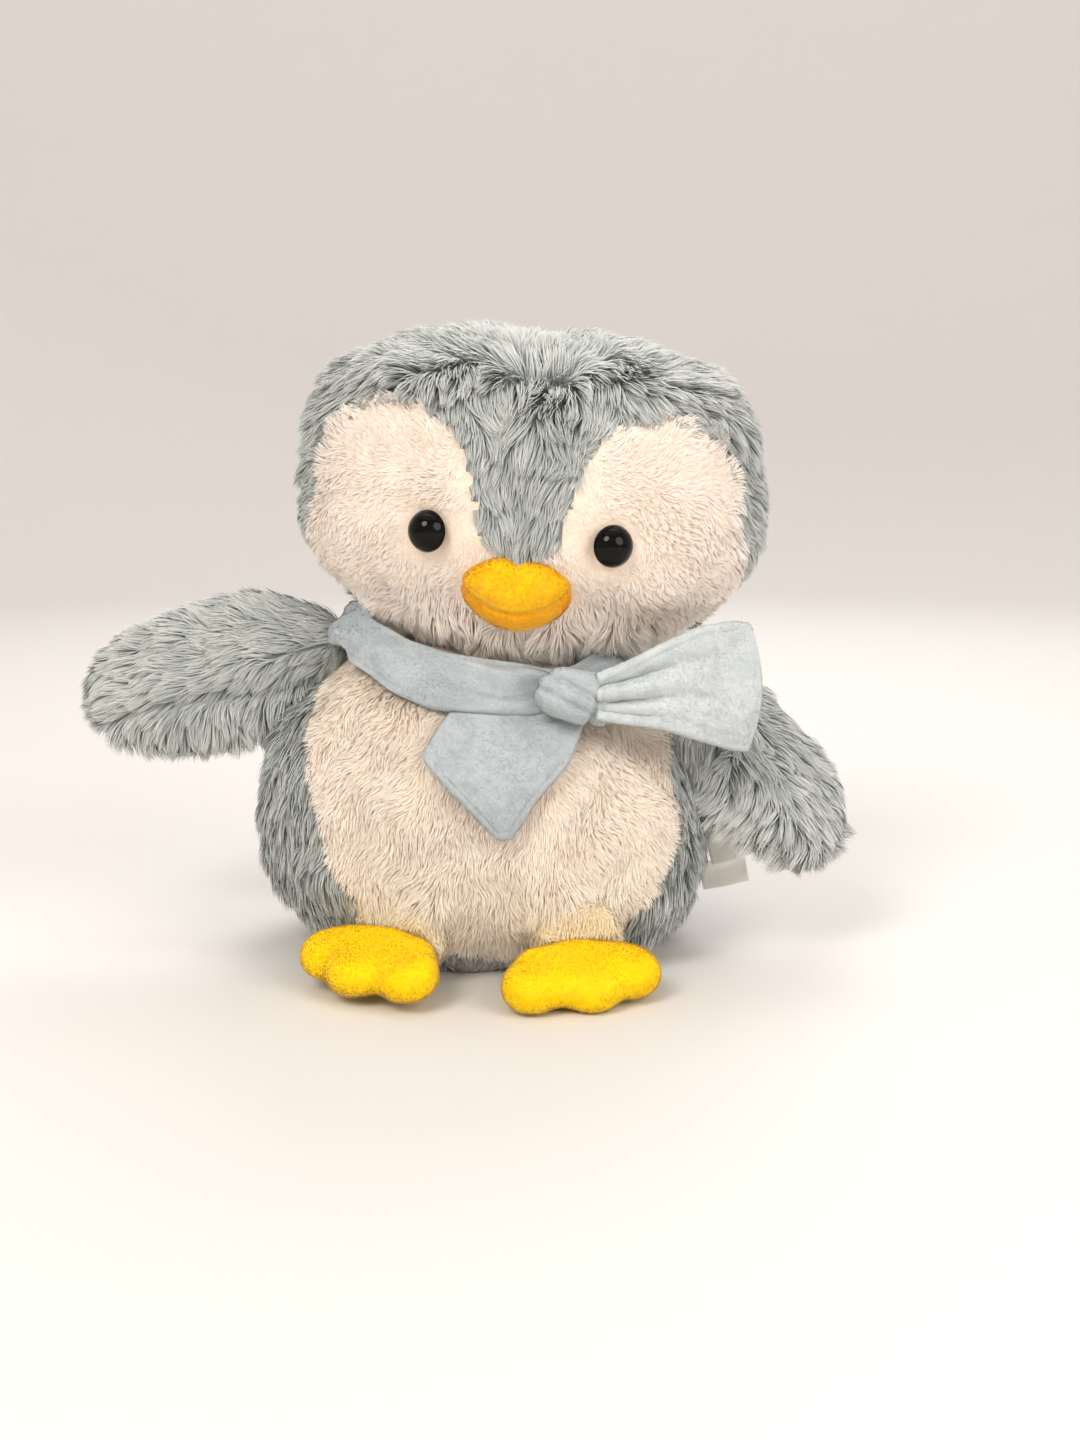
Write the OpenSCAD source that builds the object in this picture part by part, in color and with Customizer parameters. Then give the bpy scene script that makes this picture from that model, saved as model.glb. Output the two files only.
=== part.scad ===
// Sitting plush penguin with a knotted neck scarf, in millimetres.
// It faces -Y, its left hand is at +X and Z is up. The origin is on the flat of its base.
// Every soft form is an egg-shaped surface. Cloth pieces are thin shells cut from it, and stuffing fills it.

/* [Cloth] */
// Thickness of the pile fabric's backing with its packed roots
cloth = 1.6; // [1.2:0.1:2.4]
// Room between a cloth piece and the stuffing inside it
ease = 0.2; // [0.1:0.05:0.4]

/* [Body] */
// Width of the body at its widest
body_w = 168; // [160:1:172]
// Depth of the body, front to back
body_d = 132; // [128:1:138]
// Height of the body's widest level
body_wide_z = 47; // [44:1:50]
// Height at which the body is closed under the neck
body_top_z = 108; // [106:1:109]
// Sideways lean of the settled body, in degrees
lean = 4.5; // [3:0.5:5]
// Half-width of the cream belly panel
belly_half_w = 70; // [64:1:72]
// Height of the middle of the belly panel
belly_mid_z = 56; // [52:1:60]

/* [Head] */
// Width of the head across the cheeks
head_w = 167; // [162:1:170]
// Depth of the head
head_d = 126; // [120:1:130]
// Height of the cheeks above the ground
cheek_z = 160; // [159:1:163]
// Height of the crown above the cheeks
crown_rise = 68; // [64:1:70]
// Depth of the chin below the cheeks
chin_drop = 44; // [42:1:45]
// Sideways offset of the head from the base
head_shift = 21; // [18:1:22]
// Sideways tilt of the head, in degrees
head_tilt = 4.5; // [3:0.5:5]

/* [Face] */
// Diameter of an eye
eye_d = 15; // [13:0.5:16]
// Distance of an eye from the middle of the face
eye_x = 31.5; // [30:0.5:33]
// Height of the eyes against the cheeks
eye_rise = -1; // [-3:0.5:1]
// Width of the beak
beak_w = 36; // [33:1:38]
// Height of the beak
beak_h = 24; // [22:1:26]
// How far the beak stands out of the face
beak_out = 14; // [12:1:16]
// Depth of the beak's middle below the cheeks
beak_drop = 18.5; // [17:0.5:20]

/* [Wings] */
// Length of a wing from its shoulder
wing_l = 87; // [82:1:90]
// Width of a wing
wing_w = 48; // [44:1:49]
// Thickness of a wing
wing_t = 21; // [18:1:22]
// Drop of the raised right wing, in degrees
drop_right = 15.5; // [14:0.5:20]
// Drop of the lowered left wing, in degrees
drop_left = 45; // [42:0.5:45]
// Turn of the lowered left wing about its own length, in degrees
twist_left = 30; // [20:1:34]

/* [Legs] */
// Width of a leg
leg_w = 33; // [30:1:35]
// Width of a foot across its toes
foot_w = 53; // [50:1:54]
// Height of a foot
foot_h = 13; // [12:0.5:14]
// How far the left foot turns outward, in degrees
splay_left = 17; // [10:1:20]
// How far the right foot turns outward, in degrees
splay_right = 27; // [20:1:30]
// How far each foot slopes down to its toes, in degrees
foot_slope = 16; // [12:1:18]

/* [Scarf] */
// Width of the scarf band as it lies round the neck
scarf_w = 19; // [17:0.5:19]
// Thickness of the gathered scarf band
scarf_t = 5; // [4:0.5:6]
// Thickness of the scarf's flat tails
tail_t = 3.2; // [2.6:0.2:3.6]

/* [Hidden] */

GREY = "#9aa3a1";
CREAM = "#f1e2d4";
YELLOW = "#ffd400";
AMBER = "#fdb913";
PALE = "#f3eee6";
SCARF = "#c3d0d6";
FILL = "#f7f6f2";
BLACK = "#101012";

big = 400;

// Gap left in the seam between the base and the panels sewn to it
seam_gap = 0.05;

// Egg surfaces: exponents above the widest level, below it and in plan
body_shape = [2.2, 2.0, 2.2];
head_shape = [3.0, 1.9, 2.2];
wing_shape = [2.2, 2.0, 2.0];
round_shape = [2.0, 2.0, 2.0];
body_up = 76;
body_down = 60;
body_low_z = -8;
bean_at = [3, 4, 5];
bean_size = [86, 70, 18];

// Belly outline: [height, width] of its narrow top against the middle, then how flat its wide bottom is
belly_top = [18, 0.69];
belly_bottom = [-4, 0.71];

// Neck: three coaxial soft parts round one point, so that the head turns, nods and tilts
neck = [14, 0, 111];
neck_room_r = 21;
neck_fill_r = 16;
neck_thread_r = 18.6;
neck_thread_t = 1.3;
crown_seam_y = 6;

// Shoulders, in the leaning frame of the body
shoulder = [71.5, 0, 108];
shoulder_room_r = 30.5;
shoulder_scarf_r = 18;
wing_wide_at = 30;
wing_root_at = -4;
wing_root_round = 10;
wing_fold_axis = [0.42, -0.907, 0];

// Legs: x of each on either side of the middle, then the egg they are cut from
leg_mid_x = 9;
leg_spread = 27;
leg_root = [-46, 19];
leg_h = 30;
leg_out = 22;
leg_in = 12;
leg_shape = [2.6, 2.0, 2.3];

// Feet: the point about which each bends, the room behind the heel, and how it opens downward
foot_left_at = [40, -63, 19.7];
foot_right_at = [-28, -61, 22.7];
foot_gap = 0.6;
foot_gap_angle = 13;
heel = [0, -9, -6.5];
heel_r = 8.4;
heel_flat = [2.3, 1, 0.76];
toe_flat = [1, 1, 0.66];
toes = [[foot_w / 2 - 10, -16, -6.6, 10], [1.5, -22.5, -6.6, 10.5], [-foot_w / 2 + 9.5, -17, -6.6, 9.5]];

// Scarf ring: centre and half-sizes of its outline in plan, then [plan angle, height]
scarf_mid = [11, -1];
scarf_half = [50, 53];
scarf_lean = 32;
scarf_heights = [
    [-150, 117], [-105, 111], [-60, 107.5], [0, 105], [60, 108], [120, 112], [170, 116.5], [210, 117]
];
scarf_squareness = 0.9;
scarf_steps = 36;
knot = [39, -58, 108];
knot_r = 12;
knot_flat = [1.05, 0.66, 0.76];
knot_turn = [0, 12, 18];

// Face: top of the patch, its corner beside the beak and its cheek, each [x, y, radius], and its lowest level
face_top = [48, 15, 27];
face_inner = [14.5, -8, 3];
face_cheek = [56, -5, 22];
face_low = 60;

// Beak: how far its root is sunk in the face, and the disc that curves its mouth seam, [height, radius]
beak_sunk = 2;
mouth = [23, 29.3];
mouth_rise = 1.7;

// Kite-shaped tail that hangs from the knot down the belly: rows of [height, right x, left x]
tail_front_rows = [
    [96, 13, 43], [91, -12, 42], [85, -11, 40], [77, -5, 36], [69, 2, 31], [61, 12, 25], [57, 17, 21]
];
tail_front_gap = 7.5;

// Flared tail that stands out to the side of the knot: columns of [x, y, low z, high z]
tail_side_columns = [
    [53.5, -62, 102, 112], [62, -61, 99, 117], [74, -57, 94, 122],
    [86, -51, 90, 125], [96, -45, 88, 127], [103, -40, 88, 126]
];

// Safety eye: a domed head on a stem through the fabric, with a washer pressed on behind it
eye_turn = 24;
eye_sunk = 0.4;
eye_dome_drop = 1.3;
eye_rim = 0.6;
stem_d = 5;
stem_l = 13;
washer_d = 18;
washer_t = 1.6;
washer_at = 7.4;
washer_fit = 0.1;

// Care labels sewn into the left side seam
label = [87.6, 4, 35];
label_t = 0.4;
label_gap = 0.4;
label_large = [16, 20];
label_small = [18, 11];
label_small_drop = 4;

function spow(v, e) = sign(v) * pow(abs(v), e);

// A level oval of half-widths a and b, with squareness e
function oval(a, b, z, e, n) = [
    for (i = [0:n - 1])
        let (t = 360 * i / n)
            [a * spow(cos(t), 2 / e), b * spow(sin(t), 2 / e), z]
];

// Rings of an egg from z_low to z_high, both counted from its widest level
function egg_rings(w, d, up, down, shape, z_low, z_high, n, m) =
    let (a0 = -asin(min(0.999, -z_low / down)), a1 = asin(min(0.999, z_high / up)))
        [
            for (j = [0:m])
                let (a = a0 + (a1 - a0) * j / m)
                    let (h = a < 0 ? down : up, e = a < 0 ? shape[1] : shape[0])
                        let (k = pow(1 - pow(abs(sin(a)), e), 1 / e))
                            oval(w / 2 * k, d / 2 * k, h * sin(a), shape[2], n)
        ];

// Closed solid through a stack of rings with equal numbers of points
module loft(rings) {
    n = len(rings[0]);
    m = len(rings);
    walls = [
        for (j = [0:m - 2])
            for (i = [0:n - 1])
                [j * n + i, (j + 1) * n + i, (j + 1) * n + (i + 1) % n, j * n + (i + 1) % n]
    ];
    low = [[for (i = [0:n - 1]) i]];
    high = [[for (i = [n - 1:-1:0]) (m - 1) * n + i]];
    polyhedron([for (r = rings) each r], concat(walls, low, high), convexity = 8);
}

// Sews its children into one soft surface
module soft(tint) {
    color(tint)
        resize([0, 0, 0])
            children();
}

module above(z) {
    translate([-big / 2, -big / 2, z])
        cube(big);
}

module left_half() {
    translate([0, -big / 2, -big / 2])
        cube(big);
}

module lean_frame() {
    rotate([0, lean, 0])
        children();
}

module head_frame() {
    translate([head_shift, 0, cheek_z])
        rotate([0, head_tilt, 0])
            children();
}

// side is 1 for the penguin's left and -1 for its right
module shoulder_frame(side) {
    lean_frame()
        translate([side * shoulder[0], shoulder[1], shoulder[2]])
            children();
}

// ---- Body ----

// The body's surface, drawn in by t
module body_form(t) {
    difference() {
        intersection() {
            lean_frame()
                translate([0, 0, body_wide_z])
                    loft(egg_rings(body_w - 2 * t, body_d - 2 * t, body_up - t, body_down - t, body_shape,
                                   body_low_z - body_wide_z, body_top_z - t - body_wide_z, 32, 9));
            above(t);
        }
        translate(neck)
            sphere(neck_room_r + t, $fn = 24);
        shoulder_rooms(t);
    }
}

// Hollows in the body's surface in which the wing roots turn, let out by t
module shoulder_rooms(t) {
    for (side = [-1, 1])
        shoulder_frame(side)
            sphere(shoulder_room_r + t, $fn = 24);
}

module body_skin() {
    difference() {
        body_form(0);
        body_form(cloth);
    }
}

// Front outline of the belly panel, an egg wider at the bottom
module belly_region() {
    lean_frame()
        translate([0, 0, belly_mid_z])
            rotate([90, 0, 0])
                linear_extrude(big)
                    hull() {
                        translate([0, belly_top[0]])
                            circle(belly_half_w * belly_top[1], $fn = 32);
                        translate([0, belly_bottom[0]])
                            scale([1, belly_bottom[1]])
                                circle(belly_half_w, $fn = 32);
                    }
}

module belly_panel() {
    soft(CREAM)
        difference() {
            intersection() {
                body_skin();
                belly_region();
                above(cloth + seam_gap);
            }
            shoulder_rooms(2 * cloth);
        }
}

module back_panel(side) {
    soft(GREY)
        difference() {
            intersection() {
                body_skin();
                above(cloth + seam_gap);
                scale([side, 1, 1])
                    lean_side(side);
            }
            difference() {
                belly_region();
                shoulder_rooms(2 * cloth);
            }
        }
}

// Half space on the left of the body's middle, mirrored by scale() for the right
module lean_side(side) {
    rotate([0, side * lean, 0])
        left_half();
}

module base_panel() {
    soft(GREY)
        difference() {
            body_skin();
            above(cloth);
        }
}

// Flat round bag of beans on the floor of the body, let out by t
module bean_pouch_form(t) {
    translate(bean_at)
        loft(egg_rings(bean_size[0] + 3 * t, bean_size[1] + 3 * t, bean_size[2] + 2 * t, bean_size[2] / 3 + t,
                       round_shape, -bean_size[2] / 6 - t, bean_size[2] + t - 0.5, 24, 6));
}

module bean_pouch() {
    soft(PALE)
        bean_pouch_form(0);
}

module body_stuffing() {
    soft(FILL)
        difference() {
            body_form(cloth + ease);
            bean_pouch_form(ease);
        }
}

// ---- Legs and feet ----

function leg_x(side) = leg_mid_x + side * leg_spread;

module leg(side) {
    soft(CREAM)
        difference() {
            translate([leg_x(side), leg_root[0], leg_root[1]])
                rotate([90, 0, 0])
                    loft(egg_rings(leg_w, leg_h, leg_out, leg_in, leg_shape,
                                   -leg_in * 0.7, leg_out - 1, 26, 6));
            for (turn = [foot_gap_angle, -foot_slope])
                foot_frame(side)
                    translate([0, foot_gap, 0])
                        rotate([turn, 0, 0])
                            translate([-big / 2, -big, -big / 2])
                                cube(big);
            body_form(-ease);
        }
}

// Three round toes run together, drawn in by t. The bending line is the local X axis.
module foot_form(t) {
    intersection() {
        for (toe = toes)
            hull() {
                translate(heel)
                    scale(heel_flat)
                        sphere(heel_r - t, $fn = 14);
                translate([toe[0], toe[1], toe[2]])
                    scale(toe_flat)
                        sphere(toe[3] - t, $fn = 14);
            }
        above(t - foot_h);
    }
}

module foot_frame(side) {
    translate(side > 0 ? foot_left_at : foot_right_at)
        rotate([0, 0, side > 0 ? splay_left : -splay_right])
            scale([side, 1, 1])
                rotate([foot_slope, 0, 0])
                    children();
}

module foot_top(side) {
    soft(YELLOW)
        foot_frame(side)
            intersection() {
                difference() {
                    foot_form(0);
                    foot_form(cloth);
                }
                above(2 * cloth - foot_h);
            }
}

module foot_sole(side) {
    soft(YELLOW)
        foot_frame(side)
            difference() {
                foot_form(0);
                foot_form(cloth);
                above(2 * cloth - foot_h);
            }
}

module foot_stuffing(side) {
    soft(FILL)
        foot_frame(side)
            foot_form(cloth + ease);
}

// ---- Wings ----

module wing_form(t) {
    translate([wing_wide_at, 0, 0])
        rotate([90, 0, 90])
            loft(egg_rings(wing_t - 2 * t, wing_w - 2 * t, wing_l - wing_wide_at - t,
                           wing_wide_at - wing_root_at + wing_root_round, wing_shape,
                           wing_root_at - wing_wide_at + t, wing_l - wing_wide_at - t, 20, 8));
}

// Places a wing that points along X: its tip is lowered, and the left one's lower edge is turned forward
module wing_frame(side) {
    shoulder_frame(side)
        scale([side, 1, 1])
            rotate(side > 0 ? -drop_left : -drop_right, wing_fold_axis)
                rotate([side > 0 ? -twist_left : 0, 0, 0])
                    children();
}

// The seam runs round the wing's edge, so the outer piece is the front half
module wing_half(side, front) {
    soft(GREY)
        wing_frame(side)
            intersection() {
                difference() {
                    wing_form(0);
                    wing_form(cloth);
                }
                translate([-big / 2, front ? -big : 0, -big / 2])
                    cube(big);
            }
}

module wing_stuffing(side) {
    soft(FILL)
        wing_frame(side)
            wing_form(cloth + ease);
}

// ---- Head ----

// Half-depth of the head at a place on its front, in the head's frame
function face_y(x, z) =
    let (h = z < 0 ? chin_drop : crown_rise, e = z < 0 ? head_shape[1] : head_shape[0])
        let (k = pow(1 - pow(abs(z) / h, e), 1 / e))
            -head_d / 2 * k * pow(1 - pow(abs(x) / (head_w / 2 * k), head_shape[2]), 1 / head_shape[2]);

module head_egg(t) {
    loft(egg_rings(head_w - 2 * t, head_d - 2 * t, crown_rise - t, chin_drop - t, head_shape,
                   t - chin_drop, crown_rise - t, 32, 12));
}

// The head's surface, drawn in by t, with room for the neck
module head_form(t) {
    difference() {
        head_frame()
            head_egg(t);
        translate(neck)
            sphere(neck_room_r + t, $fn = 24);
    }
}

// Half of the face, on the side of positive x, as an outline seen from the front. Discs are [x, y, radius].
module face_outline() {
    hull() {
        disc(face_top);
        disc(face_inner);
    }
    hull() {
        disc(face_cheek);
        disc(face_inner);
        translate([0, -face_low])
            square([face_low * 2 / 3, face_low + face_inner[1]]);
    }
}

module disc(d) {
    translate([d[0], d[1]])
        circle(d[2], $fn = 32);
}

module face_region(side) {
    scale([side, 1, 1])
        rotate([90, 0, 0])
            linear_extrude(big)
                face_outline();
}

module stem_hole(side, r) {
    eye_frame(side)
        cylinder(h = 2 * stem_l, r = r, center = true, $fn = 20);
}

module face_patch(side) {
    soft(CREAM)
        difference() {
            intersection() {
                head_form(0);
                head_frame()
                    face_region(side);
            }
            head_form(cloth);
            stem_hole(side, stem_d / 2 + ease);
        }
}

module forehead_panel() {
    soft(GREY)
        difference() {
            head_form(0);
            head_form(cloth);
            head_frame() {
                face_region(1);
                face_region(-1);
                translate([-big / 2, crown_seam_y, -big / 2])
                    cube(big);
            }
        }
}

module head_back(side) {
    soft(GREY)
        difference() {
            head_form(0);
            head_form(cloth);
            head_frame() {
                face_region(side);
                translate([-big / 2, crown_seam_y - big, -big / 2])
                    cube(big);
                scale([-side, 1, 1])
                    left_half();
            }
        }
}

module head_stuffing() {
    soft(FILL)
        difference() {
            head_form(cloth + ease);
            for (side = [-1, 1])
                eye_frame(side)
                    translate([0, 0, -stem_l - 2 * ease])
                        cylinder(h = 2 * stem_l, r = washer_d / 2 + 2 * ease, $fn = 24);
        }
}

// Frame of an eye: the local Z axis points out of the face
module eye_frame(side) {
    head_frame()
        translate([side * eye_x, face_y(eye_x, eye_rise) - eye_sunk, eye_rise])
            rotate([90, 0, side * eye_turn])
                children();
}

module eye(side) {
    color(BLACK)
        eye_frame(side) {
            rotate_extrude($fn = 72)
                intersection() {
                    translate([0, -eye_dome_drop])
                        circle(eye_d / 2, $fn = 72);
                    translate([0, eye_rim])
                        square(eye_d);
                }
            translate([0, 0, -stem_l])
                cylinder(h = stem_l + eye_rim + ease, d = stem_d, $fn = 48);
        }
}

module eye_washer(side) {
    color(PALE)
        eye_frame(side)
            translate([0, 0, -washer_at])
                difference() {
                    cylinder(h = washer_t, d = washer_d, $fn = 48);
                    translate([0, 0, -washer_t])
                        cylinder(h = 3 * washer_t, d = stem_d + washer_fit, $fn = 48);
                }
}

// ---- Beak ----

module beak_form(t) {
    difference() {
        head_frame()
            translate([0, face_y(0, -beak_drop) + beak_sunk, -beak_drop])
                rotate([90, 0, 0])
                    loft(egg_rings(beak_w - 2 * t, beak_h - 2 * t, beak_out + beak_sunk - t, 3 * beak_sunk,
                                   round_shape, -2 * beak_sunk, beak_out + beak_sunk - t, 26, 6));
        head_frame()
            head_egg(-ease - t);
    }
}

// The space below the beak's curved mouth seam
module beak_lower_region() {
    head_frame()
        translate([0, 0, -beak_drop])
            rotate([90, 0, 0])
                linear_extrude(big)
                    difference() {
                        translate([-beak_w, -beak_w])
                            square([2 * beak_w, beak_w + mouth_rise]);
                        translate([0, mouth[0]])
                            circle(mouth[1], $fn = 54);
                    }
}

module beak_upper() {
    soft(AMBER)
        difference() {
            beak_form(0);
            beak_form(cloth);
            beak_lower_region();
        }
}

module beak_lower() {
    soft(AMBER)
        intersection() {
            difference() {
                beak_form(0);
                beak_form(cloth);
            }
            beak_lower_region();
        }
}

module beak_stuffing() {
    soft(FILL)
        beak_form(cloth + ease);
}

// ---- Neck ----

module neck_stuffing() {
    color(FILL)
        translate(neck)
            sphere(neck_fill_r, $fn = 48);
}

module neck_thread() {
    color(GREY)
        translate(neck)
            rotate_extrude($fn = 72)
                translate([neck_thread_r, 0])
                    circle(neck_thread_t, $fn = 24);
}

// ---- Scarf ----

function ease_between(a, b, f) = a + (b - a) * (1 - cos(180 * f)) / 2;
function scarf_height(t) =
    let (s = scarf_heights)
        let (i = max([for (j = [0:len(s) - 2]) if (s[j][0] <= t) j]))
            ease_between(s[i][1], s[i + 1][1], (t - s[i][0]) / (s[i + 1][0] - s[i][0]));

// One oval section of the band at plan angle t
function scarf_section(t, n) =
    let (x = spow(cos(t), scarf_squareness) * scarf_half[0],
         y = spow(sin(t), scarf_squareness) * scarf_half[1])
        let (out = [cos(t), sin(t), 0])
            let (up = [-sin(scarf_lean) * out[0], -sin(scarf_lean) * out[1], cos(scarf_lean)])
                let (thick = [cos(scarf_lean) * out[0], cos(scarf_lean) * out[1], sin(scarf_lean)])
                    [
                        for (i = [0:n - 1])
                            let (a = -360 * i / n)
                                [scarf_mid[0] + x, scarf_mid[1] + y, scarf_height(t)]
                                + scarf_t / 2 * cos(a) * thick + scarf_w / 2 * sin(a) * up
                    ];

module ring(sections) {
    n = len(sections[0]);
    m = len(sections);
    polyhedron([for (s = sections) each s],
               [
                   for (j = [0:m - 1])
                       for (i = [0:n - 1])
                           [j * n + i, (j + 1) % m * n + i,
                            (j + 1) % m * n + (i + 1) % n, j * n + (i + 1) % n]
               ],
               convexity = 8);
}

module scarf_band() {
    soft(SCARF)
        difference() {
            ring([
                for (i = [0:scarf_steps - 1])
                    scarf_section(scarf_heights[0][0] + 360 * i / scarf_steps, 10)
            ]);
            body_form(-ease);
            for (side = [-1, 1])
                shoulder_frame(side)
                    sphere(shoulder_scarf_r, $fn = 24);
            translate(knot)
                knot_form(ease);
        }
}

module knot_form(t) {
    rotate(knot_turn)
        scale(knot_flat)
            sphere(knot_r + t, $fn = 24);
}

module scarf_knot() {
    soft(SCARF)
        difference() {
            translate(knot)
                knot_form(0);
            body_form(-ease);
        }
}

// A cloth sheet of thickness tail_t through rows of points [x, y, z], thick along Y
module sheet(rows) {
    flat = [for (r = rows) each r];
    n = len(rows[0]);
    m = len(rows);
    k = n * m;
    front = [
        for (j = [0:m - 2])
            for (i = [0:n - 2])
                [j * n + i, j * n + i + 1, (j + 1) * n + i + 1, (j + 1) * n + i]
    ];
    back = [for (f = front) [for (i = [3:-1:0]) f[i] + k]];
    edge = concat(
        [for (i = [0:n - 2]) i],
        [for (j = [0:m - 2]) j * n + n - 1],
        [for (i = [n - 1:-1:1]) (m - 1) * n + i],
        [for (j = [m - 1:-1:1]) j * n]
    );
    rim = [
        for (i = [0:len(edge) - 1])
            let (a = edge[i], b = edge[(i + 1) % len(edge)])
                [a + k, b + k, b, a]
    ];
    polyhedron(concat(flat, [for (p = flat) p + [0, tail_t, 0]]), concat(front, back, rim), convexity = 6);
}

// Point of the body's front surface at x and z, moved out by gap
function body_front(x, z, gap) =
    let (zz = z + x * sin(lean), xx = x - z * sin(lean))
        let (h = zz < body_wide_z ? body_down : body_up, e = zz < body_wide_z ? body_shape[1] : body_shape[0])
            let (k = pow(1 - pow(abs(zz - body_wide_z) / h, e), 1 / e))
                let (c = pow(1 - pow(min(0.99, abs(xx) / (body_w / 2 * k)), body_shape[2]),
                             1 / body_shape[2]))
                    [x, -body_d / 2 * k * c - gap, z];

module scarf_tail_front() {
    soft(SCARF)
        sheet([
            for (r = tail_front_rows)
                [
                    for (i = [0:4])
                        body_front(r[1] + (r[2] - r[1]) * i / 4, r[0], tail_front_gap)
                ]
        ]);
}

module scarf_tail_side() {
    soft(SCARF)
        sheet([
            for (i = [4:-1:0])
                [for (c = tail_side_columns) [c[0], c[1], c[2] + (c[3] - c[2]) * i / 4]]
        ]);
}

// ---- Care labels ----

// A blank woven label, its size given as [width, height], hung back by dy and down by dz
module care_label(size, dy, dz) {
    color(PALE)
        translate([label[0], label[1] + dy, label[2] - size[1] / 2 - dz])
            cube([size[0], label_t, size[1]]);
}

module care_label_large() {
    care_label(label_large, 0, 0);
}

module care_label_small() {
    care_label(label_small, label_t + label_gap, label_large[1] / 2 - label_small_drop);
}

belly_panel();
back_panel(1);  // back_panel_left
back_panel(-1);  // back_panel_right
base_panel();
body_stuffing();
bean_pouch();
leg(1);  // leg_left
leg(-1);  // leg_right
scarf_band();
scarf_knot();
scarf_tail_front();
scarf_tail_side();
neck_stuffing();
neck_thread();
forehead_panel();
head_back(1);  // head_back_left
head_back(-1);  // head_back_right
face_patch(1);  // face_patch_left
face_patch(-1);  // face_patch_right
head_stuffing();
eye(1);  // eye_left
eye(-1);  // eye_right
eye_washer(1);  // eye_washer_left
eye_washer(-1);  // eye_washer_right
beak_upper();
beak_lower();
beak_stuffing();
wing_half(1, true);  // wing_left_outer
wing_half(1, false);  // wing_left_inner
wing_stuffing(1);  // wing_left_stuffing
wing_half(-1, true);  // wing_right_outer
wing_half(-1, false);  // wing_right_inner
wing_stuffing(-1);  // wing_right_stuffing
foot_top(1);  // foot_left_top
foot_sole(1);  // foot_left_sole
foot_stuffing(1);  // foot_left_stuffing
foot_top(-1);  // foot_right_top
foot_sole(-1);  // foot_right_sole
foot_stuffing(-1);  // foot_right_stuffing
care_label_large();
care_label_small();
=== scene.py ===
import functools
import math

import bpy
import numpy as np
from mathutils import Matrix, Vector
from mathutils.kdtree import KDTree


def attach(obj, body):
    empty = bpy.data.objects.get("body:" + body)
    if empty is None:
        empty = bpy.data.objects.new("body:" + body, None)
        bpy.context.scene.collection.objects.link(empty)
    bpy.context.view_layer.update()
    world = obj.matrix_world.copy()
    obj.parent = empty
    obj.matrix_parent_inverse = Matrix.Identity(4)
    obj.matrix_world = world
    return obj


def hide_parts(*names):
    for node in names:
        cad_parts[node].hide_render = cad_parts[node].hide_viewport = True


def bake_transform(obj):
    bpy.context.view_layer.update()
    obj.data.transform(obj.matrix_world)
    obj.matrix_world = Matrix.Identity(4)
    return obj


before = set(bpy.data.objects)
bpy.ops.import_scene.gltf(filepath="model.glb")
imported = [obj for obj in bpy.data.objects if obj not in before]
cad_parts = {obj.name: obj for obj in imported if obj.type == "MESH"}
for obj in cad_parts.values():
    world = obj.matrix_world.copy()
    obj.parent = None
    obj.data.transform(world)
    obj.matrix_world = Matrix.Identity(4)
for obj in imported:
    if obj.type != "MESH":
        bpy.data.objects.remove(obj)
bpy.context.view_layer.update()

# Plush penguin. It faces -Y, its left is +X and up is +Z. Shapes are worked out in millimetres and written to
# meshes in metres. A stuffed piece is an egg with relief, and its coat of strands is rooted on it.

scene = bpy.context.scene
thin = 1.0

# -------- places that pieces share

LEAN = 4.5
HEAD_AT = np.array([21.0, 0, 160])
BODY_AT = np.array([0, 0, 47.0])
NECK_AT = np.array([14, 0, 111.0])
# in the head's own frame
EYE_X, EYE_Z, BEAK_Z = 31.5, -1.0, -18.5
LEG_X = {"left": 39, "right": -21}

# -------- camera

CAMERA_AT = (0.0564, -0.6036, 0.1885)
CAMERA_DOWN, CAMERA_TURN = 9.57, 3.02

cam_data = bpy.data.cameras.new("camera")
cam_data.sensor_width = 36
cam_data.sensor_fit = "HORIZONTAL"
cam_data.lens = 53.3
cam = bpy.data.objects.new("camera", cam_data)
scene.collection.objects.link(cam)
cam.location = CAMERA_AT
cam.rotation_euler = (math.radians(90 - CAMERA_DOWN), 0, math.radians(CAMERA_TURN))
scene.camera = cam
scene.view_settings.view_transform = "Standard"

# -------- small helpers


def unit(v):
    return v / np.maximum(np.linalg.norm(v, axis=-1, keepdims=True), 1e-9)


def tangent(v, n):
    """The direction v laid down on a surface with normal n"""
    return unit(v - n * (v * n).sum(-1, keepdims=True))


def turn(axis, p, degrees):
    c, s = math.cos(math.radians(degrees)), math.sin(math.radians(degrees))
    i, j = (axis + 1) % 3, (axis + 2) % 3
    out = np.array(p, float)
    out[..., i], out[..., j] = p[..., i] * c - p[..., j] * s, p[..., i] * s + p[..., j] * c
    return out


turn_x, turn_y, turn_z = [functools.partial(turn, axis) for axis in range(3)]


def turn_about(p, axis, degrees):
    a = np.array(axis, float) / np.linalg.norm(axis)
    c, s = math.cos(math.radians(degrees)), math.sin(math.radians(degrees))
    return p * c + np.cross(np.broadcast_to(a, p.shape), p) * s + (p @ a)[..., None] * a * (1 - c)


def smooth(a, b, x):
    t = np.clip((x - a) / (b - a), 0, 1)
    return t * t * (3 - 2 * t)


class Waves:
    """Smooth seeded noise in space, about -1 to 1, from sums of sines of one wavelength in mm"""

    def __init__(self, wavelength, seed, count=9):
        r = np.random.default_rng(seed)
        self.k = unit(r.normal(size=(count, 3))) * math.tau / wavelength * r.uniform(0.7, 1.35, (count, 1))
        self.phase = r.uniform(0, math.tau, count)
        self.scale = math.sqrt(2 / count)

    def __call__(self, p):
        return np.clip(np.sin(p @ self.k.T + self.phase).sum(-1) * self.scale * 0.75, -1, 1)


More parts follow.
